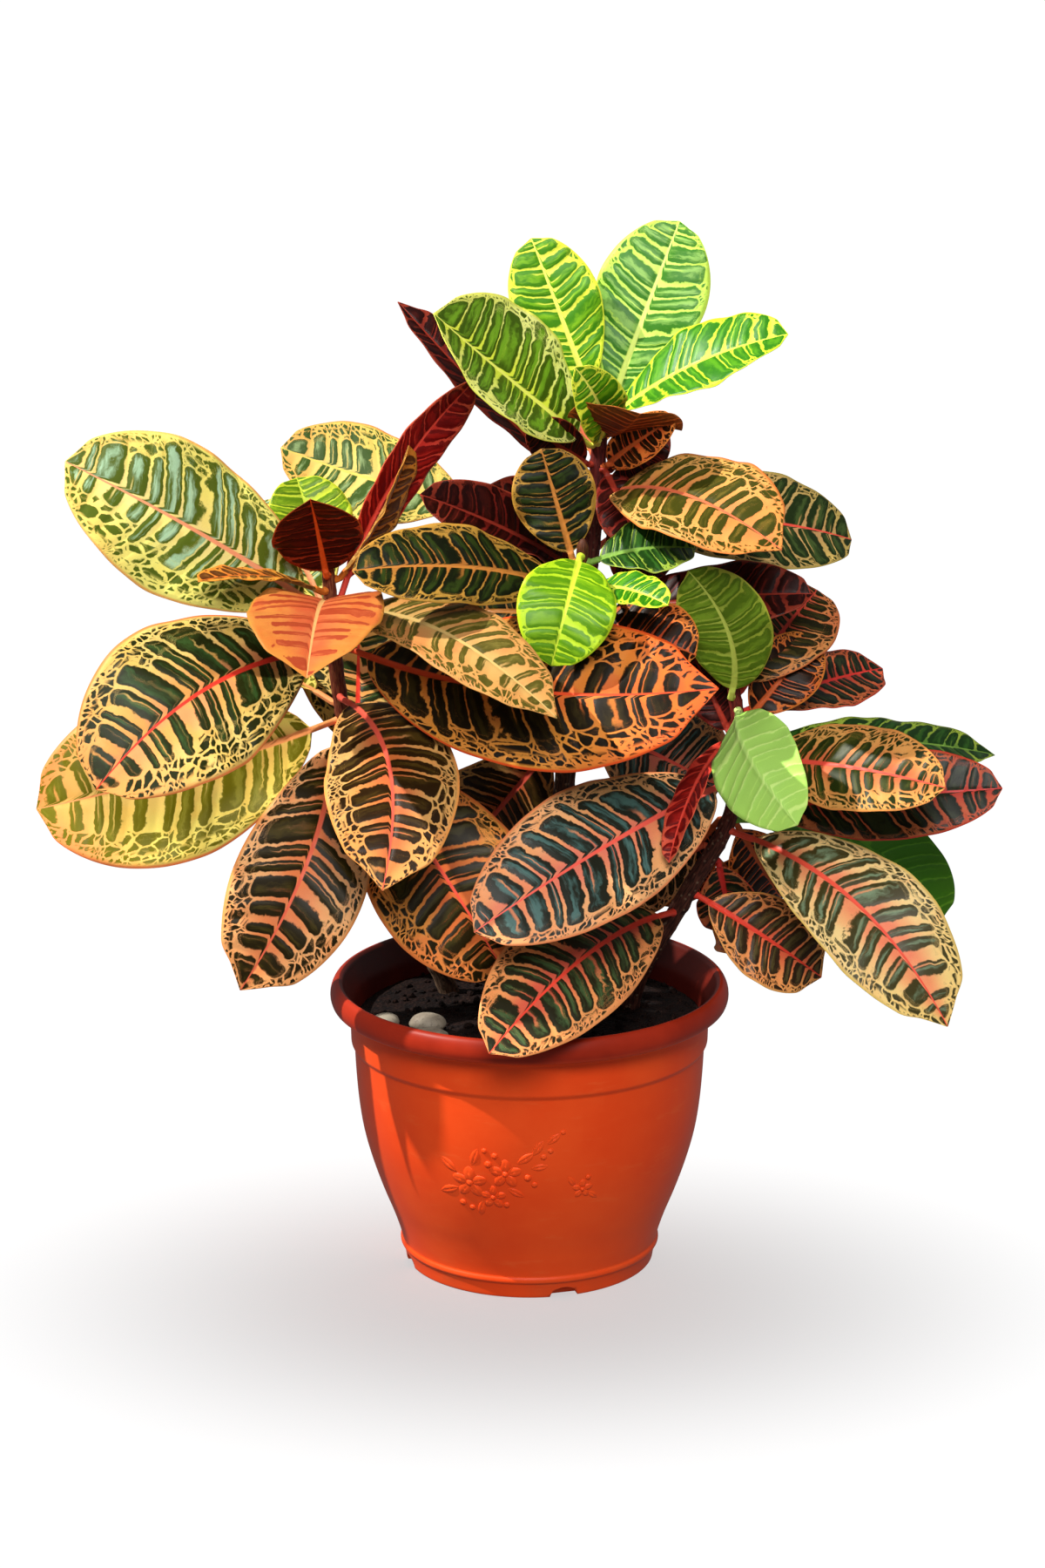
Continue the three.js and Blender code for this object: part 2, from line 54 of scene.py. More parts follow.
# Stems: points up the middle line as (x, y, z), radius at the foot and at the tip.
STEM_FOOT = 134
STEMS = {
    "main": ([(8, 20, STEM_FOOT), (14, 24, 230), (26, 28, 340), (37, 30, 440), (43, 30, 520), (45, 30, 553)],
             7.2, 4.2),
    "left": ([(-46, 40, STEM_FOOT), (-52, 38, 164), (-81, 26, 229), (-103, 10, 300), (-117, -2, 370),
              (-123, -9, 452)], 6.8, 4.0),
    "middle": ([(12, -16, STEM_FOOT), (15, -20, 230), (21, -28, 330), (28, -36, 410), (32, -41, 470)],
               5.6, 3.6),
    "right": ([(56, 8, STEM_FOOT), (68, 7, 180), (97, 3, 236), (124, 0, 288), (130, 0, 334), (125, 0, 376)],
              6.4, 3.8),
}
FOOT_SWELLING = 0.25  # a stem is this much thicker at its foot, as a share of its radius
SWELLING_FADE = 14  # how fast it loses that on the way up

# The leaves of each stem, numbered from 1: height on the stem, tip, side the upper face looks to, width,
# arch, sweep, fold, look. arch: how far the midrib bows towards the upper face; sweep: the same within the
# blade (both as shares of the length); fold: degrees each half is lifted from flat.
LEAVES = {
    "main": [
        (546, (1, 45, 643), (0.1, -1, 0.2), 56, 0.02, 0, 8, "lime_sunny"),
        (541, (92, 66, 650), (-0.1, -1, 0.3), 70, 0.02, 0, 8, "lime_pale"),
        (518, (-57, -45, 613), (0.5, -0.75, 0.45), 84, -0.01, 0, 30, "lime_striped"),
        (536, (156, 0, 592), (-0.3, -0.5, 0.85), 60, 0.08, 0, 14, "lime"),
        (526, (66, -42, 552), (-0.2, 0.95, 0.15), 74, -0.06, 0, 16, "ember"),
        (488, (-81, 60, 601), (0.6, -0.6, 0.5), 36, 0, -0.02, 22, "maroon"),
        (488, (150, -75, 476), (0, -0.6, 0.8), 78, 0.15, 0, 10, "flame"),
        (430, (-40, -8, 472), (0, -0.5, 0.85), 92, 0.1, 0, 34, "maroon"),
        (467, (202, 78, 447), (0, -0.8, 0.6), 66, 0.12, 0, 12, "forest_red"),
        (410, (173, -8, 433), (0, -0.7, 0.7), 48, 0.06, 0, 12, "maroon"),
        (518, (66, 190, 572), (0, 0, 1), 74, 0.12, 0, 12, "forest"),
        (505, (12, 215, 480), (0, 0, 1), 80, 0.12, 0, 12, "flame"),
        (452, (140, 200, 420), (0, 0, 1), 80, 0.1, 0, 12, "sunset"),
        (344, (122, 78, 286), (0, -1, 0.3), 80, 0.04, 0, 10, "dusk"),
        (330, (-62, 92, 214), (0, -1, 0.3), 84, 0.06, 0, 10, "amber"),
        (476, (-156, 92, 503), (0, -0.8, 0.6), 68, -0.12, 0, 10, "cream"),
    ],
    "left": [
        (446, (-131, -52, 502), (0, -1, 0.1), 60, -0.05, 0, 22, "brick"),
        (440, (-143, 26, 498), (0.2, -0.8, 0.5), 54, 0.06, 0, 16, "olive"),
        (442, (-73, -6, 525), (0.9, -0.3, 0), 40, 0.05, 0, 20, "rust"),
        (430, (-30, 16, 564), (0.5, -0.7, 0), 36, -0.06, -0.04, 22, "scarlet"),
        (428, (-129, -165, 421), (0, -0.1, 1), 84, 0.12, 0, 16, "coral"),
        (424, (-277, -52, 525), (0.1, -0.85, 0.5), 96, 0.06, 0, 8, "meadow"),
        (398, (-258, -110, 338), (0, -0.85, 0.5), 106, 0.12, 0.07, 8, "gold_green"),
        (352, (-301, -45, 307), (0, -0.9, 0.4), 110, 0.06, -0.03, 8, "gold"),
        (350, (-176, -85, 204), (0.1, -0.9, 0.3), 82, 0.12, -0.06, 8, "sunset"),
        (368, (-87, -145, 286), (0, -0.85, 0.5), 82, 0.12, -0.12, 8, "amber"),
        (330, (-14, -62, 206), (0.1, -0.9, 0.4), 98, 0.1, 0, 8, "amber_dark"),
        (420, (16, -150, 393), (0, -0.5, 0.85), 56, 0.14, 0, 10, "peach"),
        (400, (112, -112, 401), (0, -0.85, 0.5), 98, 0.06, 0.08, 6, "blaze"),
        (412, (-196, 165, 446), (0, 0, 1), 80, 0.14, 0, 10, "meadow"),
        (362, (-262, 112, 330), (0, 0.1, 1), 84, 0.14, 0, 10, "gold"),
        (322, (-108, 95, 404), (0, -1, 0.1), 76, -0.04, 0, 8, "gold_green"),
    ],
    "middle": [
        (460, (7, -25, 527), (0, -1, 0.2), 52, 0, 0, 12, "forest_gold"),
        (444, (-105, -90, 467), (0, -0.7, 0.7), 58, 0.1, 0, 10, "forest_gold"),
        (465, (13, -98, 411), (0, -0.95, 0.3), 60, 0.26, 0, 10, "lime_bright"),
        (461, (100, -36, 468), (0, -0.5, 0.85), 48, 0.08, 0, 14, "forest"),
        (422, (100, -66, 409), (0, -0.7, 0.7), 54, 0.1, 0, 12, "ember"),
    ],
    "right": [
        (367, (96, -35, 454), (-0.2, -1, 0.2), 58, 0.05, 0.13, 10, "olive_dark"),
        (358, (160, -110, 316), (-0.2, 0.9, 0.3), 60, -0.18, 0, 10, "pale_back"),
        (368, (180, 60, 419), (0, -0.8, 0.6), 62, 0.1, 0, 10, "rose"),
        (355, (224, 88, 361), (0, -0.7, 0.7), 46, 0.04, 0, 10, "dusk_red"),
        (334, (293, 52, 314), (0, -0.45, 0.9), 42, 0.05, 0, 10, "forest"),
        (326, (250, -85, 332), (0, -0.8, 0.6), 60, 0.08, 0, 8, "tangerine"),
        (296, (291, -20, 313), (0, -0.85, 0.5), 58, 0.02, 0, 8, "dusk_red"),
        (288, (264, 70, 200), (0, 0.9, 0.4), 60, 0.03, 0.12, 10, "green_back"),
        (282, (254, -95, 184), (0.2, -0.85, 0.5), 76, 0.12, -0.06, 8, "dusk_pale"),
        (240, (183, 0, 184), (0.1, -0.85, 0.5), 58, 0.06, 0, 10, "dusk_glow"),
        (312, (-33, -135, 257), (0, -0.85, 0.5), 86, 0.1, 0, 8, "dusk"),
        (226, (-24, -150, 186), (0, -0.85, 0.5), 76, 0.1, 0.04, 8, "dusk_orange"),
        (262, (150, 84, 196), (0, -0.9, 0.4), 80, 0.06, 0, 10, "ember"),
        (266, (40, 44, 222), (0, -1, 0.2), 50, 0.02, 0, 8, "sunset"),
    ],
}

# The young leaf near the tip of each stem, which is part of the stem's solid, in the same columns.
YOUNG_LEAVES = {
    "main": (502, (82, 34, 530), (0.1, -1, 0.3), 38, 0.04, 0, 10, "maroon"),
    "left": (436, (-196, -92, 461), (0, -0.2, 1), 28, 0.06, 0, 14, "rust"),
    "middle": (444, (82, -98, 448), (0, -0.6, 0.8), 30, 0.1, 0, 14, "lime"),
    "right": (343, (84, -95, 288), (-0.5, -0.8, 0.2), 22, 0.1, 0, 26, "scarlet"),
}

# Small leaves that the large ones half hide, in the same columns. They have no solid of their own.
SMALL_LEAVES = {
    "main": [
        (520, (27, -42, 580), (0.1, -1, 0.45), 36, 0.1, 0.05, 22, "lime_sunny"),
        (506, (88, -14, 544), (0.1, -1, 0.45), 30, 0.1, 0, 22, "ember"),
        (503, (66, -6, 462), (0.2, -1, 0.2), 36, 0.1, 0, 14, "maroon"),
        (437, (-66, -30, 500), (0.1, -0.9, 0.5), 46, 0.1, 0, 26, "maroon"),
        (470, (84, 44, 432), (0, -1, 0.1), 44, 0.06, 0, 12, "maroon"),
        (506, (-1, 6, 535), (0, -1, 0.2), 32, 0.08, 0, 14, "maroon"),
        (478, (80, 16, 506), (0, -1, 0.2), 34, 0.08, 0, 14, "maroon"),
    ],
    "middle": [
        (425, (-66, 0, 417), (0, -0.8, 0.6), 44, 0.08, 0, 12, "forest_gold"),
    ],
    "right": [
        (350, (176, 26, 396), (0, -1, 0.3), 44, 0.06, 0, 14, "ember"),
        (285, (158, 44, 224), (0, -1, 0.2), 48, 0.05, 0, 12, "ember"),
        (284, (76, 34, 226), (0, -1, 0.2), 46, 0.06, 0, 12, "ember"),
        (340, (101, 22, 388), (0, -1, 0.1), 34, 0.04, 0, 14, "maroon"),
        (262, (128, 30, 206), (0, -1, 0.2), 40, 0.04, 0, 12, "dusk_red"),
    ],
}
# Slot names for the young and small leaves, by the first word of their look, where it isn't leaf_red.
SMALL_SLOTS = {"lime": "leaf_young", "forest": "leaf_mature", "rust": "leaf_orange"}

PETIOLE_R = 2.0
PETIOLE_PART = 0.08  # share of a leaf's length that is petiole
LONG_PETIOLES = {"main_leaf_16": 0.42}
PETIOLE_ROW = 3  # distance between rings along a petiole
PETIOLE_ROWS_LEAST = 6
COLLAR = 2.6  # length of the short neck where a petiole leaves its stem
SUNK = 2.0  # how deep a petiole's foot is set into the bark
NECK = [(0, 1.35), (SUNK, 1.3), (SUNK + COLLAR / 2, 1.12)]  # distance from the foot, share of PETIOLE_R
WAVES = 1.9  # waves along each edge of a blade
WAVE_HEIGHT = 0.075  # height of a wave, as a share of half the blade's width
CURL = 0.1  # how far the edges turn down, as a share of half the blade's width
EDGE_LAG = 1.3  # how far the two edges' waves are out of step, in radians
PHASE_KINDS = 7  # the waves start in one of so many ways
PHASE_STEP = 0.9  # which differ by so many radians
BROADEST = 1.22  # above 1 the broadest place moves towards the tip
FULLNESS = 0.56  # below 1 the outline is fuller
TIP_HALF = 0.3  # half the width at the very tip
POINT_FROM = 0.95  # the outline starts to run out to a point here
SHARP_FROM = 0.87  # and here on the leaves with a long point
SHARP = ("main_leaf_06", "main_leaf_07", "left_leaf_04", "left_leaf_05", "left_leaf_09", "left_leaf_10",
         "left_leaf_12", "left_leaf_13", "right_leaf_04", "right_leaf_05", "right_leaf_09", "right_leaf_10")

BLADE = 0.8  # thickness of a blade at its middle
BLADE_EDGE = 0.4  # and at its edge
RIB = 1.3  # how far the midrib stands out underneath
RIB_HALF = 2.1  # half the width of the midrib at its foot
RIB_TAPER = 1.15  # the midrib narrows evenly, and would end here as a share of the blade's length
RIB_GROOVE = 0.4  # depth of the midrib's groove in the upper face
QUILT = 0.33  # how far a blade bulges up between two veins
GROOVE = 0.45  # how deep a side vein lies in the upper face
RIPPLE = 0.7  # height of the small ripples along the edge
SKEW = 0.14  # how far a vein leans towards the tip, as a share of the length
VEINS_LEAST = 7
VEIN_SPREAD = 32  # one more pair of veins for each such length
ROWS_PER_VEIN = 7
HALF_COLUMNS = 11
COLUMN_SPREAD = 1.15  # above 1 the columns gather at the midrib
ROW_SPREAD = 0.97  # below 1 the rows gather at the tip


# -------------------------------- small tools
def unit(vectors):
    """Each vector at length 1."""
    vectors = np.asarray(vectors, float)
    return vectors / np.linalg.norm(vectors, axis=-1, keepdims=True)


def smoothstep(value, low, high):
    share = np.clip((value - low) / (high - low), 0, 1)
    return share * share * (3 - 2 * share)


def hump(value, risen, falling):
    """0 at 0, 1 from risen to falling, and 0 again at 1."""
    return smoothstep(value, 0.0, risen) * (1 - smoothstep(value, falling, 1.0))


def colour(*tone):
    """A display colour, 0 to 255, as the linear colour that a shader takes."""
    parts = [part / 255 for part in tone]
    return (*(p / 12.92 if p <= 0.04045 else ((p + 0.055) / 1.055) ** 2.4 for p in parts), 1.0)


def circle(radius, count):
    """Points round the middle, as (x, y)."""
    angles = [2 * math.pi * k / count for k in range(count)]
    return [(radius * math.cos(angle), radius * math.sin(angle)) for angle in angles]


def mesh_object(name, points, faces, material, smooth=True):
    """An object from points in millimetres."""
    mesh = bpy.data.meshes.new(name)
    mesh.from_pydata((np.asarray(points, float) * MM).tolist(), [], faces)
    mesh.polygons.foreach_set("use_smooth", [smooth] * len(mesh.polygons))
    mesh.materials.append(material)
    mesh.update()
    piece = bpy.data.objects.new(name, mesh)
    bpy.context.scene.collection.objects.link(piece)
    return piece


def store(piece, name, values):
    """A vector at each point of a piece, for its material to read."""
    attribute = piece.data.attributes.new(name, "FLOAT_VECTOR", "POINT")
    attribute.data.foreach_set("vector", np.asarray(values, np.float32).ravel())


def ring_faces(rows, count, base=0):
    """Quads between rows of points, each row a ring of count points. The first point has the number base."""
    starts = [base + row * count for row in range(rows)]
    return [(low + k, low + (k + 1) % count, high + (k + 1) % count, high + k)
            for low, high in zip(starts, starts[1:]) for k in range(count)]


def closed_faces(rows, count, base=0):
    """The same with a flat cap on the first and the last ring."""
    first = range(base, base + count)
    last = range(base + (rows - 1) * count, base + rows * count)
    return ring_faces(rows, count, base) + [tuple(reversed(first)), tuple(last)]


def finish_piece(piece, node, slot):
    """Every piece rides on the one body and stands for its node. The slot is not used."""
    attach(piece, "root")
    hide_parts(node)


class StemCurve:
    """The middle line of a stem: a centripetal Catmull-Rom curve through its points."""
    STEP = 1e-4  # how far to each side of a place its direction is measured
    HALVINGS = 30

    def __init__(self, points):
        points = [np.array(p, float) for p in points]
        self.points = [2 * points[0] - points[1], *points, 2 * points[-1] - points[-2]]
        self.pieces = len(points) - 1

    def at(self, share):
        place = min(max(share, 0), 1) * self.pieces
        first = min(int(place), self.pieces - 1)
        weight = place - first
        a, b, c, d = self.points[first:first + 4]
        before, between, after = (np.linalg.norm(q - p) ** 0.5 for p, q in ((a, b), (b, c), (c, d)))
        slope_b = ((b - a) / before - (c - a) / (before + between)) * between + (c - b)
        slope_c = (c - b) - ((d - b) / (between + after) - (d - c) / after) * between
        cubic = 2 * (b - c) + slope_b + slope_c
        square = 3 * (c - b) - 2 * slope_b - slope_c
        return b + slope_b * weight + square * weight ** 2 + cubic * weight ** 3

    def tangent(self, share):
        return unit(self.at(min(share + self.STEP, 1)) - self.at(max(share - self.STEP, 0)))

    def share_at_height(self, height):
        low, high = 0.0, 1.0
        for _ in range(self.HALVINGS):
            middle = (low + high) / 2
            if self.at(middle)[2] < height:
                low = middle
            else:
                high = middle
        return (low + high) / 2


CURVES = {name: StemCurve(points) for name, (points, _, _) in STEMS.items()}


def stem_radius(name, share):
    _, foot, tip = STEMS[name]
    return (foot + (tip - foot) * share) * (1 + FOOT_SWELLING * math.exp(-share * SWELLING_FADE))


# -------------------------------- node trees
def operation(kind, swapped=False):
    """A method that joins a value to another by a maths node."""
    def joined(value, other):
        pair = (other, value) if swapped else (value, other)
        return value.graph.math(kind, *pair)
    return joined


class Value:
    """What a shader node gives out. Sums with it are written as usual, and each step makes a node."""
    __add__ = __radd__ = operation("ADD")
    __mul__ = __rmul__ = operation("MULTIPLY")
    __sub__ = operation("SUBTRACT")
    __rsub__ = operation("SUBTRACT", swapped=True)
    __truediv__ = operation("DIVIDE")

    def __init__(self, graph, socket):
        self.graph = graph
        self.socket = socket

    def __abs__(self):
        return self.graph.math("ABSOLUTE", self)


class Graph:
    """Short ways to make and join shader nodes."""

    def __init__(self, tree):
        self.tree = tree

    def feed(self, socket, value):
        if isinstance(value, Value):
            self.tree.links.new(value.socket, socket)
        else:
            socket.default_value = value

    def node(self, kind, inputs=(), **settings):
        """A node with its settings made and its inputs fed, each by its name or place."""
        made = self.tree.nodes.new(kind)
        for name, value in settings.items():
            setattr(made, name, value)
        for key, value in dict(inputs).items():
            self.feed(made.inputs[key], value)
        return made

    def value(self, output, kind, inputs=(), **settings):
        return Value(self, self.node(kind, inputs, **settings).outputs[output])

    def math(self, operation, *values):
        return self.value(0, "ShaderNodeMath", enumerate(values), operation=operation)

    def larger(self, a, b):
        return self.math("MAXIMUM", a, b)

    def step(self, value, low, high):
        """0 below low, 1 above high, smooth between."""
        inputs = {"Value": value, "From Min": low, "From Max": high}
        return self.value("Result", "ShaderNodeMapRange", inputs, interpolation_type="SMOOTHSTEP")

    def mix(self, share, a, b):
        """Colour a with a share of colour b."""
        return self.value(2, "ShaderNodeMix", {0: share, 6: a, 7: b}, data_type="RGBA")

    def split(self, vector):
        return [Value(self, part) for part in self.node("ShaderNodeSeparateXYZ", {0: vector}).outputs]

    def join(self, *parts):
        return self.value(0, "ShaderNodeCombineXYZ", enumerate(parts))

    def attribute(self, name):
        return self.value("Vector", "ShaderNodeAttribute", attribute_name=name)

    def place(self):
        """Where a point is on its object, in metres."""
        return self.value("Object", "ShaderNodeTexCoord")

    def noise(self, vector, scale, detail=2.0, roughness=0.5):
        """Noise from about 0.2 to 0.8."""
        inputs = {"Vector": vector, "Scale": scale, "Detail": detail, "Roughness": roughness}
        return self.value("Fac", "ShaderNodeTexNoise", inputs)

    def cells(self, vector, scale, feature="F1"):
        """Distance from the middle of a cell, or with DISTANCE_TO_EDGE from its edge."""
        inputs = {"Vector": vector, "Scale": scale}
        return self.value("Distance", "ShaderNodeTexVoronoi", inputs, feature=feature)

    def chance(self, value):
        """A number from 0 to 1 that belongs to value."""
        return self.value("Value", "ShaderNodeTexWhiteNoise", {"W": value}, noise_dimensions="1D")

    def bump(self, height, strength, distance):
        inputs = {"Height": height, "Strength": strength, "Distance": distance}
        return self.value("Normal", "ShaderNodeBump", inputs)

    def dress(self, tone, roughness, normal):
        """Gives a material's shader its colour, its roughness and its fine relief."""
        shader = self.tree.nodes["Principled BSDF"].inputs
        for key, value in (("Base Color", tone), ("Roughness", roughness), ("Normal", normal)):
            self.feed(shader[key], value)


def new_material(name, **constants):
    """A material and its graph. The constants are set on the shader itself."""
    material = bpy.data.materials.new(name)
    material.use_nodes = True
    for key, value in constants.items():
        material.node_tree.nodes["Principled BSDF"].inputs[key.replace("_", " ")].default_value = value
    return material, Graph(material.node_tree)


# -------------------------------- leaf colours
# Each look: window fills the fields between the veins, and the second tone is a painted sheen in their
# middles;
# vein_in and vein_out colour the net of veins by the midrib and by the edge; margin is the blade's very edge;
# blush clouds the net.
# width: share of the space between two veins that a window fills; reach: how far a window goes to the edge;
# fade: how much shorter windows get towards the tip; spots: how full of small spots the border is; lean: how
# much further the net spreads on the blade's left half; blush_share and tip_blush: how strongly the blush
# and, near the tip, the margin's colour cover the net; shine: how strongly the leaf reflects.
UPPER_TONES = ("window", "window_sheen", "vein_in", "vein_out", "margin", "midrib", "blush")
LOWER_TONES = ("under", "under_vein")
NUMBERS = ("width", "reach", "fade", "spots", "lean", "blush_share", "tip_blush")
RESULTS = ("colour", "roughness", "normal")

PLAIN = dict(width=0.96, reach=0.86, fade=0.14, spots=1.0, lean=0.0, blush_share=0.4, tip_blush=0.6,
             shine=0.12, under=colour(150, 120, 60), under_vein=colour(190, 160, 90))
LIME = dict(PLAIN, width=0.92, reach=1.0, fade=0.05, spots=0.8, blush_share=0.25, shine=0.2,
            under=colour(150, 185, 60), under_vein=colour(205, 225, 90))
DUSK = dict(PLAIN, width=0.9, fade=0.1, shine=0.18,
            under=colour(120, 60, 40), under_vein=colour(190, 100, 60))
MAROON = dict(PLAIN, width=0.94, reach=1.02, fade=0.0, spots=0.5,
              under=colour(80, 14, 10), under_vein=colour(130, 40, 26))
GREEN_BACK = dict(PLAIN, width=0.94, reach=1.1, fade=0.0, spots=0.0)


def look(family, *tones, painted_light_gain=1.0, **changes):
    """A family's settings with changes, and the upper tones in their order, all scaled by the gain, which
    paints sunlight on them above 1 and shade below 1.
    """
    bright = [tuple(min(part * painted_light_gain, 1.0) for part in colour(*tone)) for tone in tones]
    return {**family, **dict(zip(UPPER_TONES, bright)), **changes}


# A gain above 1 is painted sunlight on a look's upper tones, and a gain below 1 is painted shade.
LOOKS = {
    "lime": look(LIME, (40, 112, 10), (78, 146, 20), (204, 230, 66), (188, 224, 44), (214, 234, 56),
                 (222, 238, 80), (160, 206, 36)),
    # The lime look again, brighter all over as painted sunlight.
    "lime_sunny": look(LIME, (58, 118, 10), (108, 160, 22), (222, 234, 84), (210, 230, 60), (226, 238, 66),
                       (230, 242, 96), (184, 212, 44), painted_light_gain=1.4),
    "lime_pale": look(LIME, (54, 120, 22), (136, 184, 84), (206, 236, 108), (192, 230, 88), (208, 238, 88),
                      (226, 242, 122), (178, 220, 82)),
    "lime_striped": look(LIME, (46, 66, 7), (88, 124, 26), (172, 196, 54), (222, 222, 104), (240, 226, 70),
                         (222, 222, 80), (180, 196, 48), painted_light_gain=2.2, width=0.95, reach=0.9),
    "lime_bright": look(LIME, (84, 136, 8), (110, 158, 16), (180, 212, 44), (172, 208, 30), (190, 220, 38),
                        (204, 226, 60), (146, 190, 24)),
    "meadow": look(PLAIN, (74, 88, 20), (150, 182, 146), (228, 200, 122), (226, 210, 108), (232, 160, 84),
                   (234, 140, 100), (232, 200, 90), width=0.94, reach=0.9, lean=0.3, painted_light_gain=1.4),
    "gold_green": look(PLAIN, (34, 38, 8), (52, 80, 36), (226, 146, 92), (230, 196, 112), (230, 130, 70),
                       (228, 58, 42), (222, 170, 62), width=0.86, reach=0.86, lean=0.16, fade=0.28),
    "gold": look(PLAIN, (108, 102, 14), (140, 134, 42), (230, 190, 102), (236, 216, 106), (236, 130, 74),
                 (236, 150, 90), (236, 180, 70), width=0.72, reach=0.82, fade=0.2, painted_light_gain=1.15, tip_blush=0.9),
    "cream": look(PLAIN, (62, 86, 34), (150, 174, 116), (226, 206, 118), (232, 204, 102), (234, 150, 76),
                  (230, 204, 100), (230, 180, 90), width=0.8, reach=0.8, fade=0.2),
    "sunset": look(PLAIN, (32, 24, 4), (60, 50, 14), (206, 118, 74), (220, 162, 108), (232, 140, 76),
                   (214, 94, 66), (214, 110, 50), fade=0.22, width=0.9, painted_light_gain=1.4),
    "amber": look(PLAIN, (38, 22, 4), (66, 48, 14), (186, 94, 54), (198, 152, 88), (230, 150, 76),
                  (214, 84, 66), (206, 116, 46), fade=0.26, width=0.92, painted_light_gain=1.08),
    "amber_dark": look(PLAIN, (32, 24, 5), (56, 50, 18), (186, 92, 44), (214, 136, 62), (222, 112, 56),
                       (200, 70, 50), (204, 84, 44), fade=0.24, width=0.9, painted_light_gain=1.6),
    "peach": look(PLAIN, (92, 84, 26), (140, 126, 56), (224, 178, 104), (230, 164, 90), (234, 168, 90),
                  (230, 194, 118), (216, 120, 70), width=0.62, reach=0.8, lean=-0.2, fade=0.3, painted_light_gain=0.7),
    "blaze": look(PLAIN, (24, 16, 4), (50, 40, 12), (214, 104, 46), (218, 140, 60), (232, 84, 34),
                  (226, 78, 40), (226, 150, 50), fade=0.4, width=0.96, tip_blush=0.8),
    "coral": look(PLAIN, (182, 72, 40), (204, 96, 54), (220, 114, 66), (226, 138, 64), (232, 146, 58),
                  (236, 176, 110), (216, 62, 42), width=0.55, reach=0.95, fade=0.2, spots=0.0, painted_light_gain=0.7),
    "flame": look(PLAIN, (60, 60, 12), (104, 90, 30), (222, 132, 76), (218, 160, 88), (232, 130, 60),
                  (226, 110, 74), (226, 146, 60), width=0.82, reach=0.82, fade=0.24),
    "tangerine": look(PLAIN, (34, 44, 10), (68, 72, 24), (210, 100, 62), (214, 154, 82), (232, 150, 76),
                      (226, 78, 62), (222, 124, 66), width=0.84, reach=0.82, fade=0.34),
    "rose": look(PLAIN, (32, 30, 10), (60, 54, 20), (200, 84, 58), (212, 140, 78), (204, 110, 64),
                 (206, 66, 54), (196, 66, 48), fade=0.1),
    "ember": look(PLAIN, (26, 10, 3), (46, 24, 7), (214, 84, 40), (220, 116, 50), (228, 138, 58),
                  (196, 90, 44), (190, 60, 30), fade=0.1, under=colour(60, 22, 10),
                  under_vein=colour(190, 84, 34)),
    "dusk": look(DUSK, (26, 28, 20), (66, 96, 92), (200, 106, 86), (208, 152, 102), (220, 128, 80),
                 (226, 84, 70), (222, 140, 80), painted_light_gain=1.45),
    "dusk_orange": look(DUSK, (30, 28, 13), (60, 80, 46), (188, 78, 58), (202, 134, 78), (214, 132, 76),
                        (216, 62, 46), (216, 120, 72), painted_light_gain=1.55),
    "dusk_pale": look(DUSK, (56, 50, 22), (104, 122, 94), (226, 116, 84), (238, 184, 124), (240, 180, 96),
                      (224, 76, 58), (232, 150, 96), painted_light_gain=1.5, width=0.8, fade=0.3),
    "dusk_glow": look(DUSK, (40, 26, 12), (74, 64, 34), (232, 88, 58), (240, 134, 76), (240, 150, 80),
                      (234, 60, 44), (238, 112, 66), painted_light_gain=1.6),
    "dusk_red": look(DUSK, (18, 24, 10), (44, 52, 26), (190, 62, 46), (200, 110, 62), (208, 66, 50),
                     (216, 52, 46), (200, 66, 50), reach=0.96),
    "forest": look(LIME, (20, 54, 10), (44, 88, 26), (94, 134, 50), (150, 176, 60), (170, 190, 66),
                   (120, 160, 66), (92, 134, 46), width=0.96),
    "forest_gold": look(PLAIN, (16, 22, 3), (46, 62, 16), (186, 120, 52), (196, 148, 60), (212, 156, 62),
                        (210, 134, 58), (200, 116, 44), width=1.0, reach=0.94, fade=0.05, painted_light_gain=0.7),
    "forest_red": look(PLAIN, (26, 38, 14), (54, 70, 32), (166, 124, 80), (166, 136, 82), (160, 140, 70),
                       (206, 70, 56), (180, 140, 74), width=0.94, reach=0.94, fade=0.0, painted_light_gain=1.7),
    "maroon": look(MAROON, (36, 5, 4), (60, 14, 10), (108, 25, 18), (122, 33, 24), (146, 56, 36),
                   (146, 46, 32), (90, 16, 14)),
    "brick": look(MAROON, (44, 4, 2), (70, 12, 4), (128, 32, 12), (132, 38, 15), (156, 58, 18),
                  (202, 78, 26), (90, 22, 9)),
    "scarlet": look(MAROON, (84, 6, 6), (120, 16, 12), (156, 36, 28), (166, 48, 36), (190, 84, 58),
                    (180, 56, 44), (150, 22, 18), painted_light_gain=1.6),
    "rust": look(PLAIN, (84, 42, 12), (120, 72, 24), (206, 120, 44), (216, 144, 52), (222, 136, 44),
                 (212, 112, 40), (196, 76, 30), width=0.86, reach=0.9, fade=0.1, spots=0.7),
    "olive": look(LIME, (84, 120, 10), (118, 150, 24), (174, 194, 54), (182, 200, 44), (190, 200, 46),
                  (180, 196, 56), (144, 174, 36)),
    "olive_dark": look(GREEN_BACK, (70, 94, 16), (98, 124, 30), (136, 150, 56), (130, 144, 46),
                       (150, 150, 50), (160, 170, 74), (112, 132, 36), painted_light_gain=1.5),
    # Its underside colours are brightened as painted light, on a leaf that the lamps leave in shade.
    "pale_back": look(GREEN_BACK, (150, 205, 90), (170, 225, 110), (200, 236, 130), (190, 230, 116),
                      (206, 230, 90), (210, 240, 140), (170, 218, 96), under=colour(188, 234, 112),
                      under_vein=colour(212, 246, 142)),
    "green_back": look(GREEN_BACK, (50, 110, 20), (70, 140, 26), (110, 170, 50), (100, 160, 40),
                       (140, 170, 40), (110, 170, 60), (80, 150, 30), under=colour(60, 134, 20),
                       under_vein=colour(90, 160, 36)),
}
VEIN_HALF_GAP = 5.5  # half the usual distance between two veins, in millimetres
BLADE_BUMP = 0.0004
SPECKLE = (0.02, 0.015, 0.01, 1.0)


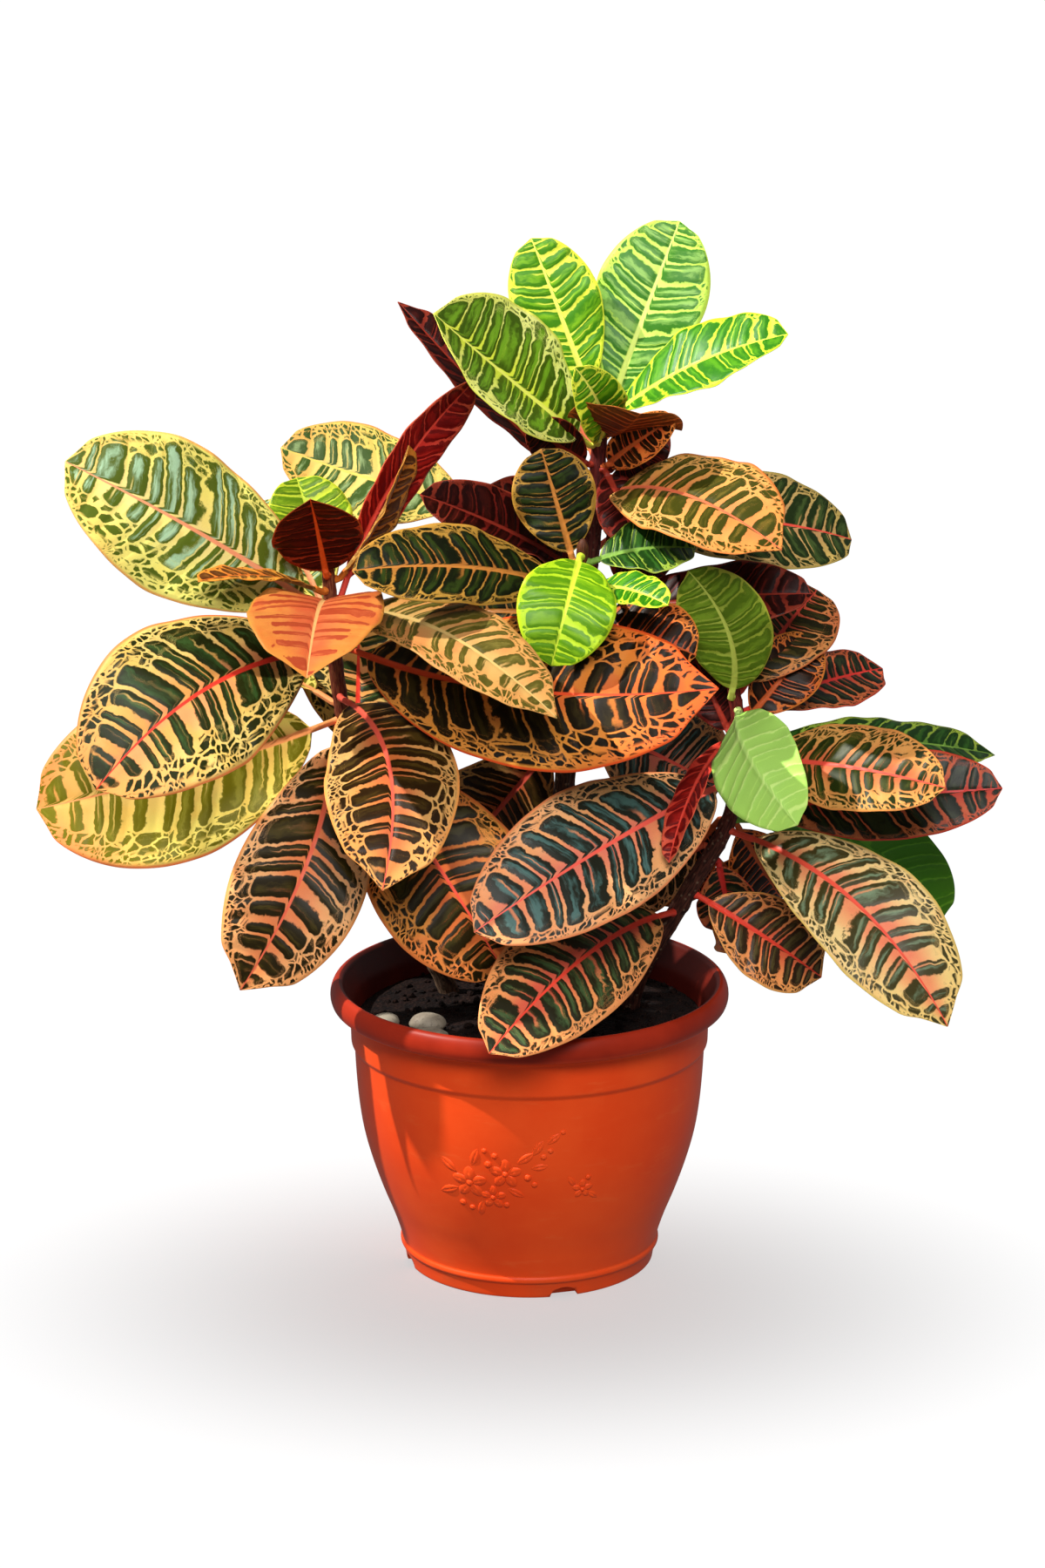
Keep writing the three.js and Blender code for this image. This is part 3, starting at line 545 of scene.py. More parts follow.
def blade_group():
    """The pattern of a leaf: windows between its veins, spots along its border, midrib and underside.
    It reads what leaf_piece stores on each leaf. Distances across and along the blade are in millimetres."""
    tree = bpy.data.node_groups.new("croton_blade", "ShaderNodeTree")
    sockets = [(name, "INPUT", "Color") for name in UPPER_TONES + LOWER_TONES]
    sockets += [(name, "INPUT", "Float") for name in NUMBERS]
    sockets += [(name, "OUTPUT", kind) for name, kind in zip(RESULTS, ("Color", "Float", "Vector"))]
    for name, way, kind in sockets:
        tree.interface.new_socket(name=name, in_out=way, socket_type="NodeSocket" + kind)
    g = Graph(tree)
    given = {socket.name: Value(g, socket) for socket in g.node("NodeGroupInput").outputs}
    phase, border, upper = g.split(g.attribute("leaf_veins"))
    along, half, seed = g.split(g.attribute("leaf_span"))
    place = g.attribute("leaf_place")
    across = g.split(place)[1]

    clouds = g.noise(place, 0.05, 3)
    patches = g.noise(place, 0.13, 3)
    grain = g.noise(place, 0.4, 3, 0.6)
    fine = g.noise(place, 1.8, 2)

    # The fields between the veins. Each is filled by a window, narrow by the midrib and round at its end.
    bent = phase + (patches - 0.5) * (border * 0.9)
    inside = abs(g.math("FRACT", bent) - 0.5) * 2  # 0 mid-field, 1 on a vein
    field = g.math("FLOOR", bent) + seed * 17.3
    luck = g.chance(field)
    left = g.math("LESS_THAN", across, 0.0)
    loss = given["fade"] * g.step(along, 0.25, 1.0) + given["lean"] * left
    size = half / VEIN_HALF_GAP
    end = given["reach"] * (0.82 + luck * 0.3) - loss
    full = given["width"] - loss * 0.5
    full = full * (0.8 + g.step(border, 0.0, 0.22) * 0.2)
    full = full * (0.9 + g.chance(field + 0.71) * 0.14) + (grain - 0.5) * 0.25
    past_end = (border - end) * size
    past = g.larger(past_end + full, 0.0)
    room = full - g.math("SQRT", inside * inside + past * past)
    window = g.step(room, 0.0, 0.1)
    # A thin side vein runs from the midrib into more than half of the windows.
    split = g.math("GREATER_THAN", g.chance(field + 0.37), 0.4)
    skewed = abs(g.math("FRACT", bent + (luck - 0.5) * 0.3) - 0.5)
    line = (1 - g.step(skewed, 0.01, 0.06)) * split * (1 - g.step(border - luck * 0.5, 0.1, 0.3))
    window = window * (1 - line * 0.8)

    # The net of small fields between the windows' ends and the border, finer by the border.
    net_place = g.join(bent * 1.8, border * size * 0.85, seed)
    wall = 0.04 + (1 - given["spots"]) * 0.3 + loss * 0.14
    rough = (grain - 0.5) * 0.12
    coarse = g.step(g.cells(net_place, 1.0, "DISTANCE_TO_EDGE") + rough - wall, 0.0, 0.06)
    finer = g.step(g.cells(net_place, 1.7, "DISTANCE_TO_EDGE") + rough - (wall + 0.03), 0.0, 0.08)
    by_border = g.step(border, 0.76, 0.86)
    spots = coarse * (1 - by_border) + finer * by_border
    outside = g.step(past_end + inside * 0.45, 0.18, 0.3)
    spots = spots * outside * (1 - g.step(border, 0.92, 0.97))
    pattern = g.larger(window, spots)

    # Colours of the upper face.
    # The streaks and the lighter tone in each window's middle are a painted sheen.
    streaks = g.noise(g.join(bent * 5.0, border * 2.0, seed), 1.0, 3, 0.6)
    middle = g.step(room + (clouds - 0.5) * 0.5 + (streaks - 0.5) * 2.2, 0.3, 1.0)
    dark = g.mix(middle, given["window"], given["window_sheen"])
    net = g.mix(g.step(border, 0.1, 0.65), given["vein_in"], given["vein_out"])
    net = g.mix(g.step(clouds, 0.42, 0.62) * given["blush_share"], net, given["blush"])
    net = g.mix(g.step(along + border * 0.25, 0.75, 1.15) * given["tip_blush"], net, given["margin"])
    face = g.mix(pattern, net, dark)
    face = g.mix(g.step(border, 0.955, 0.985), face, given["margin"])
    rib = (RIB_TAPER - along) * RIB_HALF
    on_rib = 1 - g.step(abs(across), rib * 0.6, rib * 1.1)
    face = g.mix(on_rib, face, given["midrib"])

    # The underside: a duller ground with raised veins, the net and the windows showing through.
    on_vein = g.larger(g.step(inside, 0.72, 0.95), on_rib)
    back = g.mix(0.35, g.mix(on_vein, given["under"], given["under_vein"]), net)
    back = g.mix(pattern * 0.5, back, given["window"])
    both = g.mix(upper, back, face)
    speckled = g.mix(g.step(fine, 0.3, 0.7) * 0.12, both, g.mix(0.5, both, SPECKLE))
    roughness = 0.48 - pattern * upper * 0.12 + (grain - 0.5) * 0.16
    skin = fine * 0.5 - g.step(inside, 0.6, 1.0) * 0.8
    g.node("NodeGroupOutput", zip(RESULTS, (speckled, roughness, g.bump(skin, 0.35, BLADE_BUMP))))
    return tree


BLADE_GROUP = blade_group()


@cache
def leaf_material(name):
    """The material of one look, made the first time that it is asked for."""
    material, g = new_material("leaf_" + name, Specular_IOR_Level=LOOKS[name]["shine"])
    inputs = {key: LOOKS[name][key] for key in UPPER_TONES + LOWER_TONES + NUMBERS}
    group = g.node("ShaderNodeGroup", inputs, node_tree=BLADE_GROUP)
    g.dress(*(Value(g, group.outputs[key]) for key in RESULTS))
    return material


# -------------------------------- leaves
class Leaf:
    """The middle line and outline of one leaf."""

    def __init__(self, name, stem, row):
        height, tip, face, self.width, arch, sweep, self.fold, self.look = row
        curve = CURVES[stem]
        share = curve.share_at_height(height)
        centre = curve.at(share)
        axis = curve.tangent(share)
        end = np.array(tip, float)
        outward = end - centre
        self.outward = unit(outward - axis * outward.dot(axis))
        self.foot = centre + self.outward * (stem_radius(stem, share) - SUNK)
        start = centre + self.outward * (stem_radius(stem, share) + COLLAR)
        chord = end - start
        self.length = np.linalg.norm(chord)
        self.side = unit(np.cross(unit(chord), np.array(face, float)))
        normal = np.cross(self.side, unit(chord))
        bow = (4 / 3) * self.length * (arch * normal + sweep * self.side)
        self.controls = [start, start + chord / 3 + bow, start + chord * 2 / 3 + bow, end]
        self.petiole = LONG_PETIOLES.get(name, PETIOLE_PART)
        self.point_from = SHARP_FROM if name in SHARP else POINT_FROM
        self.phase = (ord(name[-1]) % PHASE_KINDS) * PHASE_STEP
        self.veins = round(VEINS_LEAST + self.length * (1 - self.petiole) / VEIN_SPREAD)

    def at(self, part):
        """Points of the middle line, and the two directions of the cross-section there."""
        part = np.asarray(part, float)[..., None]
        rest = 1 - part
        a, b, c, d = self.controls
        points = rest ** 3 * a + 3 * rest ** 2 * part * b + 3 * rest * part ** 2 * c + part ** 3 * d
        tangent = unit(rest ** 2 * (b - a) + 2 * rest * part * (c - b) + part ** 2 * (d - c))
        across = unit(self.side - tangent * (tangent @ self.side)[..., None])
        return points, across, np.cross(across, tangent)

    def oval(self, share):
        return PETIOLE_R + (self.width / 2 - PETIOLE_R) * np.sin(math.pi * share ** BROADEST) ** FULLNESS

    def half_width(self, share):
        """Half the width of the blade: a full oval that runs out to a short point."""
        oval = self.oval(np.minimum(share, 0.999))
        turn = self.point_from
        point = self.oval(turn) * (1 - share) / (1 - turn) + TIP_HALF
        return oval + (np.minimum(oval, point) - oval) * smoothstep(share, turn, (1 + turn) / 2)


def round_ring(centre, across, upward, radius, columns):
    """A round cross-section with the same number of points as a blade's."""
    angle = (columns + 1) * math.pi / 2
    sideways = -np.cos(angle)[:, None] * across
    rise = np.sin(angle)[:, None] * upward
    return centre + radius * np.concatenate([sideways + rise, (sideways - rise)[::-1]])


def petiole_rings(leaf, columns):
    """The petiole, from its foot in the bark to where the blade starts."""
    across = leaf.at(0.0)[1]
    upward = unit(np.cross(across, leaf.outward))
    rings = [round_ring(leaf.foot + leaf.outward * run, across, upward, PETIOLE_R * share, columns)
             for run, share in NECK]
    rows = max(PETIOLE_ROWS_LEAST, int(leaf.petiole * leaf.length / PETIOLE_ROW))
    for part in np.linspace(0, leaf.petiole, rows, endpoint=False):
        rings.append(round_ring(*leaf.at(part), PETIOLE_R, columns))
    return rings


def blade_surface(leaf, share, q):
    """The blade's middle surface at shares of its length and places q across, from -1 to 1. With it come the
    upward direction and half the width."""
    centre, across, upward = leaf.at(leaf.petiole + (1 - leaf.petiole) * share)
    half = leaf.half_width(share)
    lift = math.radians(leaf.fold)
    swell = np.sin(math.pi * share)
    lag = np.where(q > 0, EDGE_LAG, 0)
    wave = np.sin(2 * math.pi * WAVES * share + leaf.phase + lag)
    ripple = np.sin(math.pi * leaf.veins * share + leaf.phase * 2 + lag * 3)
    rise = half * (abs(q) * math.sin(lift) + q ** 2 * swell * (WAVE_HEIGHT * wave - CURL))
    rise = rise + RIPPLE * ripple * abs(q) ** 5 * swell
    points = centre + across * (q * half * math.cos(lift))[..., None] + upward * rise[..., None]
    return points, upward, half


def vectors_round(count, *parts):
    """A vector at each of count points of a ring, from parts that are given for all or for each."""
    return np.stack([np.broadcast_to(part, count) for part in parts], axis=1)


def both_faces(values):
    """Values across the upper face, and again in reverse across the underside."""
    return np.concatenate([values, values[::-1]])


def blade_ring(leaf, row, columns, seed):
    """One ring of the blade, which leans towards the tip as the veins do, and what its material reads there:
    the place among the veins, the place on the blade, and the place in millimetres."""
    lean = SKEW * math.sin(math.pi * row) ** 0.7
    share = np.minimum(row + lean * abs(columns) ** 1.3 * (1 - row ** 4), 1.0)
    points, upward, half = blade_surface(leaf, share, columns)
    phase = row * leaf.veins
    phase += 0.2 * math.sin(1.7 * phase + seed) + 0.1 * math.sin(4.1 * phase + 2 * seed)
    phase = phase + np.where(columns > 0, 0.5 + 0.1 * math.sin(2.9 * phase + seed), 0.0)
    near = abs(phase % 1 - 0.5) * 2  # 0 between two veins, 1 on a vein
    edge = abs(columns)
    quilted = hump(edge, 0.12, 0.8) * hump(row, 0.06, 0.9)
    relief = quilted * (QUILT * (1 - near ** 2) - GROOVE * smoothstep(near, 0.62, 1.0))
    on_rib = np.exp(-(edge * half / (RIB_HALF * (RIB_TAPER - row))) ** 2 * 1.4)
    skin = (BLADE + (BLADE_EDGE - BLADE) * edge) / 2 * (1 - smoothstep(row, 0.95, 1.0) * 0.5)
    top = points + upward * (skin + relief - RIB_GROOVE * on_rib * hump(row, 0.05, 0.9))[:, None]
    under = points - upward * (skin - relief * 0.9 + RIB * (1 - 0.8 * row) * on_rib)[:, None]
    upper = np.repeat([1, 0], len(columns))
    notes = [(both_faces(phase), both_faces(edge), upper), (both_faces(share), both_faces(half), seed),
             (both_faces(share * leaf.length), both_faces(columns * half), seed)]
    return np.concatenate([top, under[::-1]]), notes


def leaf_piece(name, stem, row, node):
    """One leaf: petiole, blade with raised veins, and what its material reads."""
    leaf = Leaf(name, stem, row)
    columns = np.linspace(-1, 1, 2 * HALF_COLUMNS + 1)
    columns = np.sign(columns) * abs(columns) ** COLUMN_SPREAD
    ring = 2 * len(columns)
    seed = random.Random(name).random() * 100
    rings = petiole_rings(leaf, columns)
    stalk = len(rings)
    notes = [[(0, 0, 1), (0, PETIOLE_R, seed), ((i - stalk) * PETIOLE_ROW, both_faces(columns) * 0.5, seed)]
             for i in range(stalk)]
    for share in np.linspace(0, 1, leaf.veins * ROWS_PER_VEIN + 1) ** ROW_SPREAD:
        points, noted = blade_ring(leaf, share, columns, seed)
        rings.append(points)
        notes.append(noted)

    rows = len(rings)
    faces = [face[::-1] for face in ring_faces(rows, ring)]
    last = (rows - 1) * ring
    for k in range(len(columns) - 1):
        faces.append((k, k + 1, ring - 2 - k, ring - 1 - k))
        faces.append((last + ring - 1 - k, last + ring - 2 - k, last + k + 1, last + k))
    piece = mesh_object(name + "_blade", np.concatenate(rings), faces, leaf_material(leaf.look))
    for kind, vectors in zip(("leaf_veins", "leaf_span", "leaf_place"), zip(*notes)):
        store(piece, kind, [vectors_round(ring, *vector) for vector in vectors])
    lay_out(piece, rows, ring)
    finish_piece(piece, node, SLOT_OF.get(name) or SMALL_SLOTS.get(leaf.look.split("_")[0], "leaf_red"))


def lay_out(piece, rows, ring):
    """A flat map of a leaf's skin: its length along one side, the way round it along the other."""
    layer = piece.data.uv_layers.new(name="OFBake")
    loops = np.empty(len(piece.data.loops), int)
    piece.data.loops.foreach_get("vertex_index", loops)
    row, column = loops // ring, loops % ring
    across = column / ring
    for polygon in piece.data.polygons:
        chosen = list(polygon.loop_indices)
        if column[chosen].max() == ring - 1 and column[chosen].min() == 0:
            across[[i for i in chosen if column[i] == 0]] = 1.0
    layer.data.foreach_set("uv", np.stack([row / (rows - 1), across], axis=1).astype(np.float32).ravel())


# -------------------------------- stems
STEM_AROUND = 22
STEM_ROW = 2  # distance between rings up a stem
LENGTH_STEPS = 60  # a stem's length is measured in so many steps
SCARS_FROM = 34
SCAR_EVERY = 13  # distance between leaf scars up a stem
SCAR_TURN = math.radians(137.5)  # each scar lies this far round from the last
SCAR_HALF = 2.2  # half a scar's height
SCAR_HALF_ANGLE = 0.55  # and half its width, in radians
SCAR_RISE = 0.9  # how far a scar's rim stands out
SCAR_PIT = 0.5  # and how deep its middle is
NODE_RISE = 0.25  # a stem swells by this much all round at each scar
NODE_HALF = 1.6  # over this distance up and down
BUD = [(1.5, 0.93), (3, 0.78), (4.4, 0.52), (5.4, 0.2)]  # distance past the tip, share of the tip's radius
BARK_BUMP = 0.0008

# Each stem's bark: its two colours low down, and its two colours near the tip.
BARKS = {
    "main": ((52, 26, 22), (96, 56, 44), (70, 18, 18), (104, 34, 30)),
    "left": ((70, 50, 38), (134, 108, 86), (96, 34, 26), (132, 72, 44)),
    "middle": ((44, 26, 20), (88, 58, 42), (60, 26, 18), (96, 54, 32)),
    "right": ((46, 22, 18), (94, 52, 40), (74, 18, 16), (112, 38, 30)),
}


def bark_material(name):
    old_dark, old_light, young_dark, young_light = (colour(*tone) for tone in BARKS[name])
    material, g = new_material(name + "_bark", Specular_IOR_Level=0.2)
    up, angle, share = g.split(g.attribute("bark_place"))
    place = g.attribute("bark_point")
    streaks = g.noise(g.join(up * 0.08, angle * 2.4, share), 2.0, 4, 0.6)
    mottle = g.noise(place, 90.0, 4, 0.6)
    spots = 1 - g.step(g.cells(place, 260.0), 0.12, 0.3)
    old = g.mix(g.step(streaks, 0.35, 0.65), old_dark, old_light)
    old = g.mix(g.step(mottle, 0.5, 0.7) * 0.5, old, colour(44, 26, 20))
    old = g.mix(spots * 0.4, old, colour(160, 138, 112))
    young = g.mix(g.step(streaks, 0.4, 0.6), young_dark, young_light)
    youth = g.step(share + (mottle - 0.5) * 0.3, 0.45, 0.8)
    relief = g.bump(streaks * 0.8 + mottle * 0.6, 0.7, BARK_BUMP)
    g.dress(g.mix(youth, old, young), 0.85 - youth * 0.3, relief)
    return material


def stem_piece(name):
    """A stem with its leaf scars, node swellings and a pointed bud."""
    curve = CURVES[name]
    marks = [curve.at(i / LENGTH_STEPS) for i in range(LENGTH_STEPS + 1)]
    length = sum(np.linalg.norm(after - before) for before, after in zip(marks, marks[1:]))
    rows = int(length / STEM_ROW)
    chance = random.Random(name)
    oval, lobes = chance.uniform(0, 6), chance.uniform(0, 6)
    scars = [(at, i * SCAR_TURN) for i, at in enumerate(np.arange(SCARS_FROM, length * 0.96, SCAR_EVERY))]
    angles = np.arange(STEM_AROUND) / STEM_AROUND * 2 * math.pi
    stations = [(i / rows, 0.0, 1.0) for i in range(rows + 1)] + [(1.0, past, share) for past, share in BUD]
    rings, places = [], []
    for share, past, closing in stations:
        up = curve.tangent(share)
        side = unit(np.array([1.0, 0, 0]) - up * up[0])
        front = np.cross(up, side)
        run = share * length + past
        relief = np.zeros(STEM_AROUND)
        for at, turn in scars:
            away = (angles - turn + math.pi) % (2 * math.pi) - math.pi
            near = ((run - at) / SCAR_HALF) ** 2 + (away / SCAR_HALF_ANGLE) ** 2
            relief += SCAR_RISE * np.exp(-near) - SCAR_PIT * np.exp(-near * 5)
            relief += NODE_RISE * math.exp(-((run - at) / NODE_HALF) ** 2)
        uneven = 1 + 0.03 * np.sin(2 * angles + run * 0.05 + oval)
        uneven += 0.02 * np.sin(3 * angles - run * 0.09 + lobes)
        reach = closing * (stem_radius(name, share) * uneven + relief)
        outward = np.cos(angles)[:, None] * side + np.sin(angles)[:, None] * front
        rings.append(curve.at(share) + up * past + reach[:, None] * outward)
        places.append(vectors_round(STEM_AROUND, run, np.cos(angles), share))
    points = np.concatenate(rings)
    faces = closed_faces(len(rings), STEM_AROUND)
    piece = mesh_object(name + "_stem_bark", points, faces, bark_material(name))
    store(piece, "bark_place", places)
    store(piece, "bark_point", points * MM)
    finish_piece(piece, name + "_stem", "bark")


# -------------------------------- pot
POT_SIDES = 144
RIM_R = 125
POT_H = 184
NECK_R = 112
FOOT_R = 78.2
WALL = 3.2
FLOOR_Z = 5
ROUND_STEPS = 5  # points on the curve at each corner of the profile
NOTCHES = 4
NOTCH_R = 9  # half the width of a drain notch
NOTCH_H = 6.5
NOTCH_REACH = 7  # how far to each side of the foot's edge the cut goes
NOTCH_AT = 16  # the first notch, in degrees from the front
NOTCH_BELOW = 3  # the cut starts this far under the foot
NOTCH_STEPS = 20

# The pot's outside from the underside up to the rim's crown, then its inside: radius, height, rounding.
POT_OUTSIDE = [
    (0, 0, 0), (FOOT_R, 0, 1.2), (79, 5, 2), (80.2, 9.8, 0.6), (81.9, 11.2, 0.9), (81.9, 13.4, 0.9),
    (80.8, 14.8, 0.8), (82.4, 21, 5), (86.4, 33, 7), (92.6, 48, 9), (99.6, 68, 10), (105, 88, 10),
    (107.8, 108, 10), (109.2, 126, 8), (109.9, 141.5, 0.8), (NECK_R, 144.5, 1), (NECK_R + 0.4, 158, 2),
    (NECK_R + 1, 165, 1), (RIM_R - 5, 167.5, 1.5), (RIM_R - 1.4, 169.6, 1.2), (RIM_R, 173.5, 2.2),
    (RIM_R - 0.3, 178, 2.4), (RIM_R - 2.2, 182.2, 2), (RIM_R - 5, POT_H, 2), (RIM_R - 7.6, 182.6, 1.4),
    (RIM_R - 9, 179.5, 1.4),
]
POT_INSIDE = [
    (NECK_R - WALL + 1.6, 168, 3), (NECK_R - WALL, 156, 4), (109.9 - WALL, 139, 6), (107.6 - WALL, 108, 8),
    (99.2 - WALL, 68, 8), (86 - WALL, 33, 6), (79.6 - WALL, 12, 3), (76 - WALL, FLOOR_Z, 2), (0, FLOOR_Z, 0),
]
OUTER_WALL = POT_OUTSIDE[1:20]  # the stretch that rises from the foot to the rim

# Where the pot's colours change, in metres, with the painted shade on its rim and on its inner wall.
DUST_TO = 0.03
RIM_SHADE_AT = (0.1655, 0.1725)  # the rim's painted shade comes in between these heights
INNER_FROM = 0.15  # the inner wall is told from the outer one above this height
INNER_R = 0.1104  # by its radius
INNER_FLARE = 0.009  # which grows by this much
FLARE_AT = (0.165, 0.172)  # between these heights
POT_BUMP = 0.0005


def rounded(profile):
    """A profile with each corner turned by a short curve."""
    points = [np.array(p[:2], float) for p in profile]
    made = []
    for (_, _, rounding), before, here, after in zip(profile[1:], points, points[1:], points[2:]):
        cut_in = min(rounding, np.linalg.norm(here - before) * 0.45)
        cut_out = min(rounding, np.linalg.norm(after - here) * 0.45)
        first = here + unit(before - here) * cut_in
        last = here + unit(after - here) * cut_out
        for t in np.linspace(0, 1, ROUND_STEPS):
            made.append((1 - t) ** 2 * first + 2 * t * (1 - t) * here + t ** 2 * last)
    return made


def pot_material():
    material, g = new_material("pot_plastic", Specular_IOR_Level=0.18)
    place = g.place()
    x, y, z = g.split(place)
    clouds = g.noise(place, 14.0, 4, 0.6)
    grain = g.noise(place, 900.0, 2)
    scuffs = g.noise(g.join(x * 30.0, y * 30.0, z * 160.0), 1.0, 4, 0.7)
    body = g.mix(g.step(clouds, 0.3, 0.7), colour(234, 69, 18), colour(242, 81, 26))
    body = g.mix(g.step(scuffs, 0.56, 0.72) * 0.25, body, colour(240, 108, 52))
    dust = (1 - g.step(z, 0.0, DUST_TO)) * 0.3
    body = g.mix(dust * g.step(clouds, 0.4, 0.6), body, colour(150, 52, 30))
    blotches = g.step(clouds, 0.35, 0.65)
    # The rim is painted a darker red: painted shade, as cast by the leaves over it.
    body = g.mix(g.step(z, *RIM_SHADE_AT), body, g.mix(blotches, colour(146, 34, 13), colour(168, 43, 18)))
    # The inner wall above the soil is painted dark maroon: painted shade inside the pot.
    reach = g.math("SQRT", x * x + y * y)
    within = g.math("LESS_THAN", reach, INNER_R + g.step(z, *FLARE_AT) * INNER_FLARE)
    inside_shade = within * g.math("GREATER_THAN", z, INNER_FROM)
    body = g.mix(inside_shade, body, g.mix(blotches, colour(76, 16, 9), colour(104, 26, 14)))
    g.dress(body, 0.36 + clouds * 0.16, g.bump(grain * 0.4 + scuffs, 0.12, POT_BUMP))
    return material


def pot_piece(material):
    """The pot: a turned body with drain notches cut through its foot."""
    profile = rounded(POT_OUTSIDE + POT_INSIDE)
    points = [(x, y, z) for radius, z in profile for x, y in circle(radius, POT_SIDES)]
    piece = mesh_object("pot_body", points, closed_faces(len(profile), POT_SIDES), material)
    for i in range(NOTCHES):
        cut(piece, notch_cutter(math.radians(NOTCH_AT - 90 + i * 360 / NOTCHES), material))
    finish_piece(piece, "pot", "pot_plastic")


def notch_cutter(angle, material):
    """A flat arch that passes through the foot at an angle from +X."""
    outline = [(NOTCH_R * math.cos(a), NOTCH_H * math.sin(a)) for a in np.linspace(0, math.pi, NOTCH_STEPS)]
    outline += [(-NOTCH_R, -NOTCH_BELOW), (NOTCH_R, -NOTCH_BELOW)]
    turn = np.array([[math.cos(angle), -math.sin(angle)], [math.sin(angle), math.cos(angle)]])
    points = [(*(turn @ np.array([reach, across])), height)
              for reach in (FOOT_R - NOTCH_REACH, FOOT_R + NOTCH_REACH) for across, height in outline]
    return mesh_object("notch", points, closed_faces(2, len(outline)), material)


def cut(piece, cutter):
    """Cuts one closed piece out of another and removes it."""
    modifier = piece.modifiers.new("cut", "BOOLEAN")
    modifier.operation = "DIFFERENCE"
    modifier.solver = "EXACT"
    modifier.object = cutter
    graph = bpy.context.evaluated_depsgraph_get()
    mesh = bpy.data.meshes.new_from_object(piece.evaluated_get(graph))
    piece.modifiers.clear()
    piece.data = mesh
    bpy.data.objects.remove(cutter)


# The low relief on the front: places on the wall from its middle and up, and sizes. turn is in degrees.
BLOSSOMS = [(-36, 84, 10), (-14, 92, 9), (-22, 75, 7.5), (32, 80, 6)]
SPRAYS = [(-49, 95, 7, 140), (-50, 77, 7, 200), (-32, 102, 6.5, 70), (-2, 103, 6.5, 35), (-30, 66, 6, 260),
          (6, 97, 5.5, 10), (5, 110, 6, 55), (14, 116, 5.5, 40), (25, 86, 4.5, 120), (39, 75, 4.5, 320),
          (-8, 79, 6, 330)]
BERRIES = [(-24, 98, 2.4), (-20, 104, 2.1), (-26, 107, 1.8), (-1, 90, 2.3), (3, 85, 2.0), (8, 104, 2.0),
           (12, 108, 1.8), (19, 120, 1.7), (-42, 69, 2.1), (-36, 66, 1.9), (-14, 70, 2.0), (35, 88, 1.7)]
PETALS = 5
DOME_ROWS = 6
DOME_SIDES = 18
DOME_SUNK = 0.25  # how deep a dome's foot is set into the wall
WALL_ARC = 100  # a place to the side is an angle on a wall of this radius


def wall_point(angle, height):
    """A point of the pot's outside, and the directions out of the wall, round it and up it."""
    radii, heights, _ = zip(*OUTER_WALL)
    below, radius, above = np.interp([height - 2, height, height + 2], heights, radii)
    out = np.array([math.cos(angle), math.sin(angle), 0])
    upward = unit(out * (above - below) / 4 + np.array([0, 0, 1]))
    around = np.array([-math.sin(angle), math.cos(angle), 0])
    return out * radius + np.array([0, 0, height]), unit(np.cross(around, upward)), around, upward


def ornament_piece(material):
    """A generic spray of blossoms, leaves and berries in low relief, moulded on the front of the pot."""
    points, faces = [], []

    def dome(across, height, half_long, half_wide, turn, rise, pointed=0.0, groove=0.0):
        """A low raised shape on the wall, long one way and turned by an angle in degrees."""
        origin, normal, around, upward = wall_point(-math.pi / 2 + across / WALL_ARC, height)
        long_way = around * math.cos(math.radians(turn)) + upward * math.sin(math.radians(turn))
        short_way = np.cross(normal, long_way)
        faces.extend(ring_faces(DOME_ROWS + 1, DOME_SIDES, len(points)))
        for share in np.linspace(0, 1, DOME_ROWS + 1):
            reach, lift = math.cos(share * math.pi / 2), math.sin(share * math.pi / 2)
            for x, y in circle(1, DOME_SIDES):
                aside = half_wide * reach * y * (1 - pointed * abs(x) ** 3)
                out = rise * lift - groove * math.exp(-(aside / 0.5) ** 2) * (share > 0.2) - DOME_SUNK
                points.append(origin + long_way * half_long * reach * x + short_way * aside + normal * out)
        last = len(points) - DOME_SIDES
        faces.append(tuple(range(last, len(points))))

    for across, height, size in BLOSSOMS:
        for turn in np.arange(PETALS) * 360 / PETALS + 90:
            petal_x, petal_y = (size * 0.62 * way(math.radians(turn)) for way in (math.cos, math.sin))
            dome(across + petal_x, height + petal_y, size * 0.52, size * 0.36, turn, 1.1, 0.2, 0.2)
        dome(across, height, size * 0.24, size * 0.24, 0, 1.7)
    for across, height, size, turn in SPRAYS:
        dome(across, height, size, size * 0.42, turn, 1.0, 0.75, 0.45)
    for across, height, size in BERRIES:
        dome(across, height, size, size, 0, size * 0.62)
    piece = mesh_object("pot_ornament", points, faces, material)
    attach(piece, "root")


# -------------------------------- soil and pebbles
SOIL_TOP = 160
SOIL_DEPTH = 30  # how far down the visible soil reaches
SOIL_TAPER = 2  # and how much narrower it is there
SOIL_GAP = 0.3  # between the soil and the wall
MOUND = 5  # how much higher the middle is
MOUND_R = 108  # and how far out the mound reaches
EDGE_FROM = 0.94  # the soil sinks from this share of MOUND_R on
EDGE_DROP = 1.5  # by this much
SOIL_LUMPS = [(0.05, 3, 1.4), (0.17, 9, 1.1), (0.45, 5, 0.6)]  # fineness, layer of the noise, height
SOIL_RINGS = 56
SOIL_SIDES = 144
SOIL_SEED = 11
SOIL_BUMP = 0.002
CRUMBS = 420
CRUMB_MARGIN = 6  # crumbs keep this far from the wall
CRUMB_SIZES = (0.9, 3.2)
LARGE_SIZES = (3, 4.6)
SMALL_CRUMBS = 0.85  # share of the crumbs that aren't large
CRUMB_BANDS = 5
CRUMB_SIDES = 7

# The pebbles: middle, half sizes, turn in degrees.
PEBBLES = {
    "pebble_1": ((-90, -36, 166.6), (10, 7.5, 6), 20),
    "pebble_2": ((-63, -42, 168.2), (12, 9, 6.6), -10),
    "pebble_3": ((-62, -62, 166.6), (12.5, 8, 5.6), 5),
}
PEBBLE_BANDS = 26
PEBBLE_SIDES = 40
PEBBLE_DENT = 0.07
PEBBLE_BUMP = 0.0004


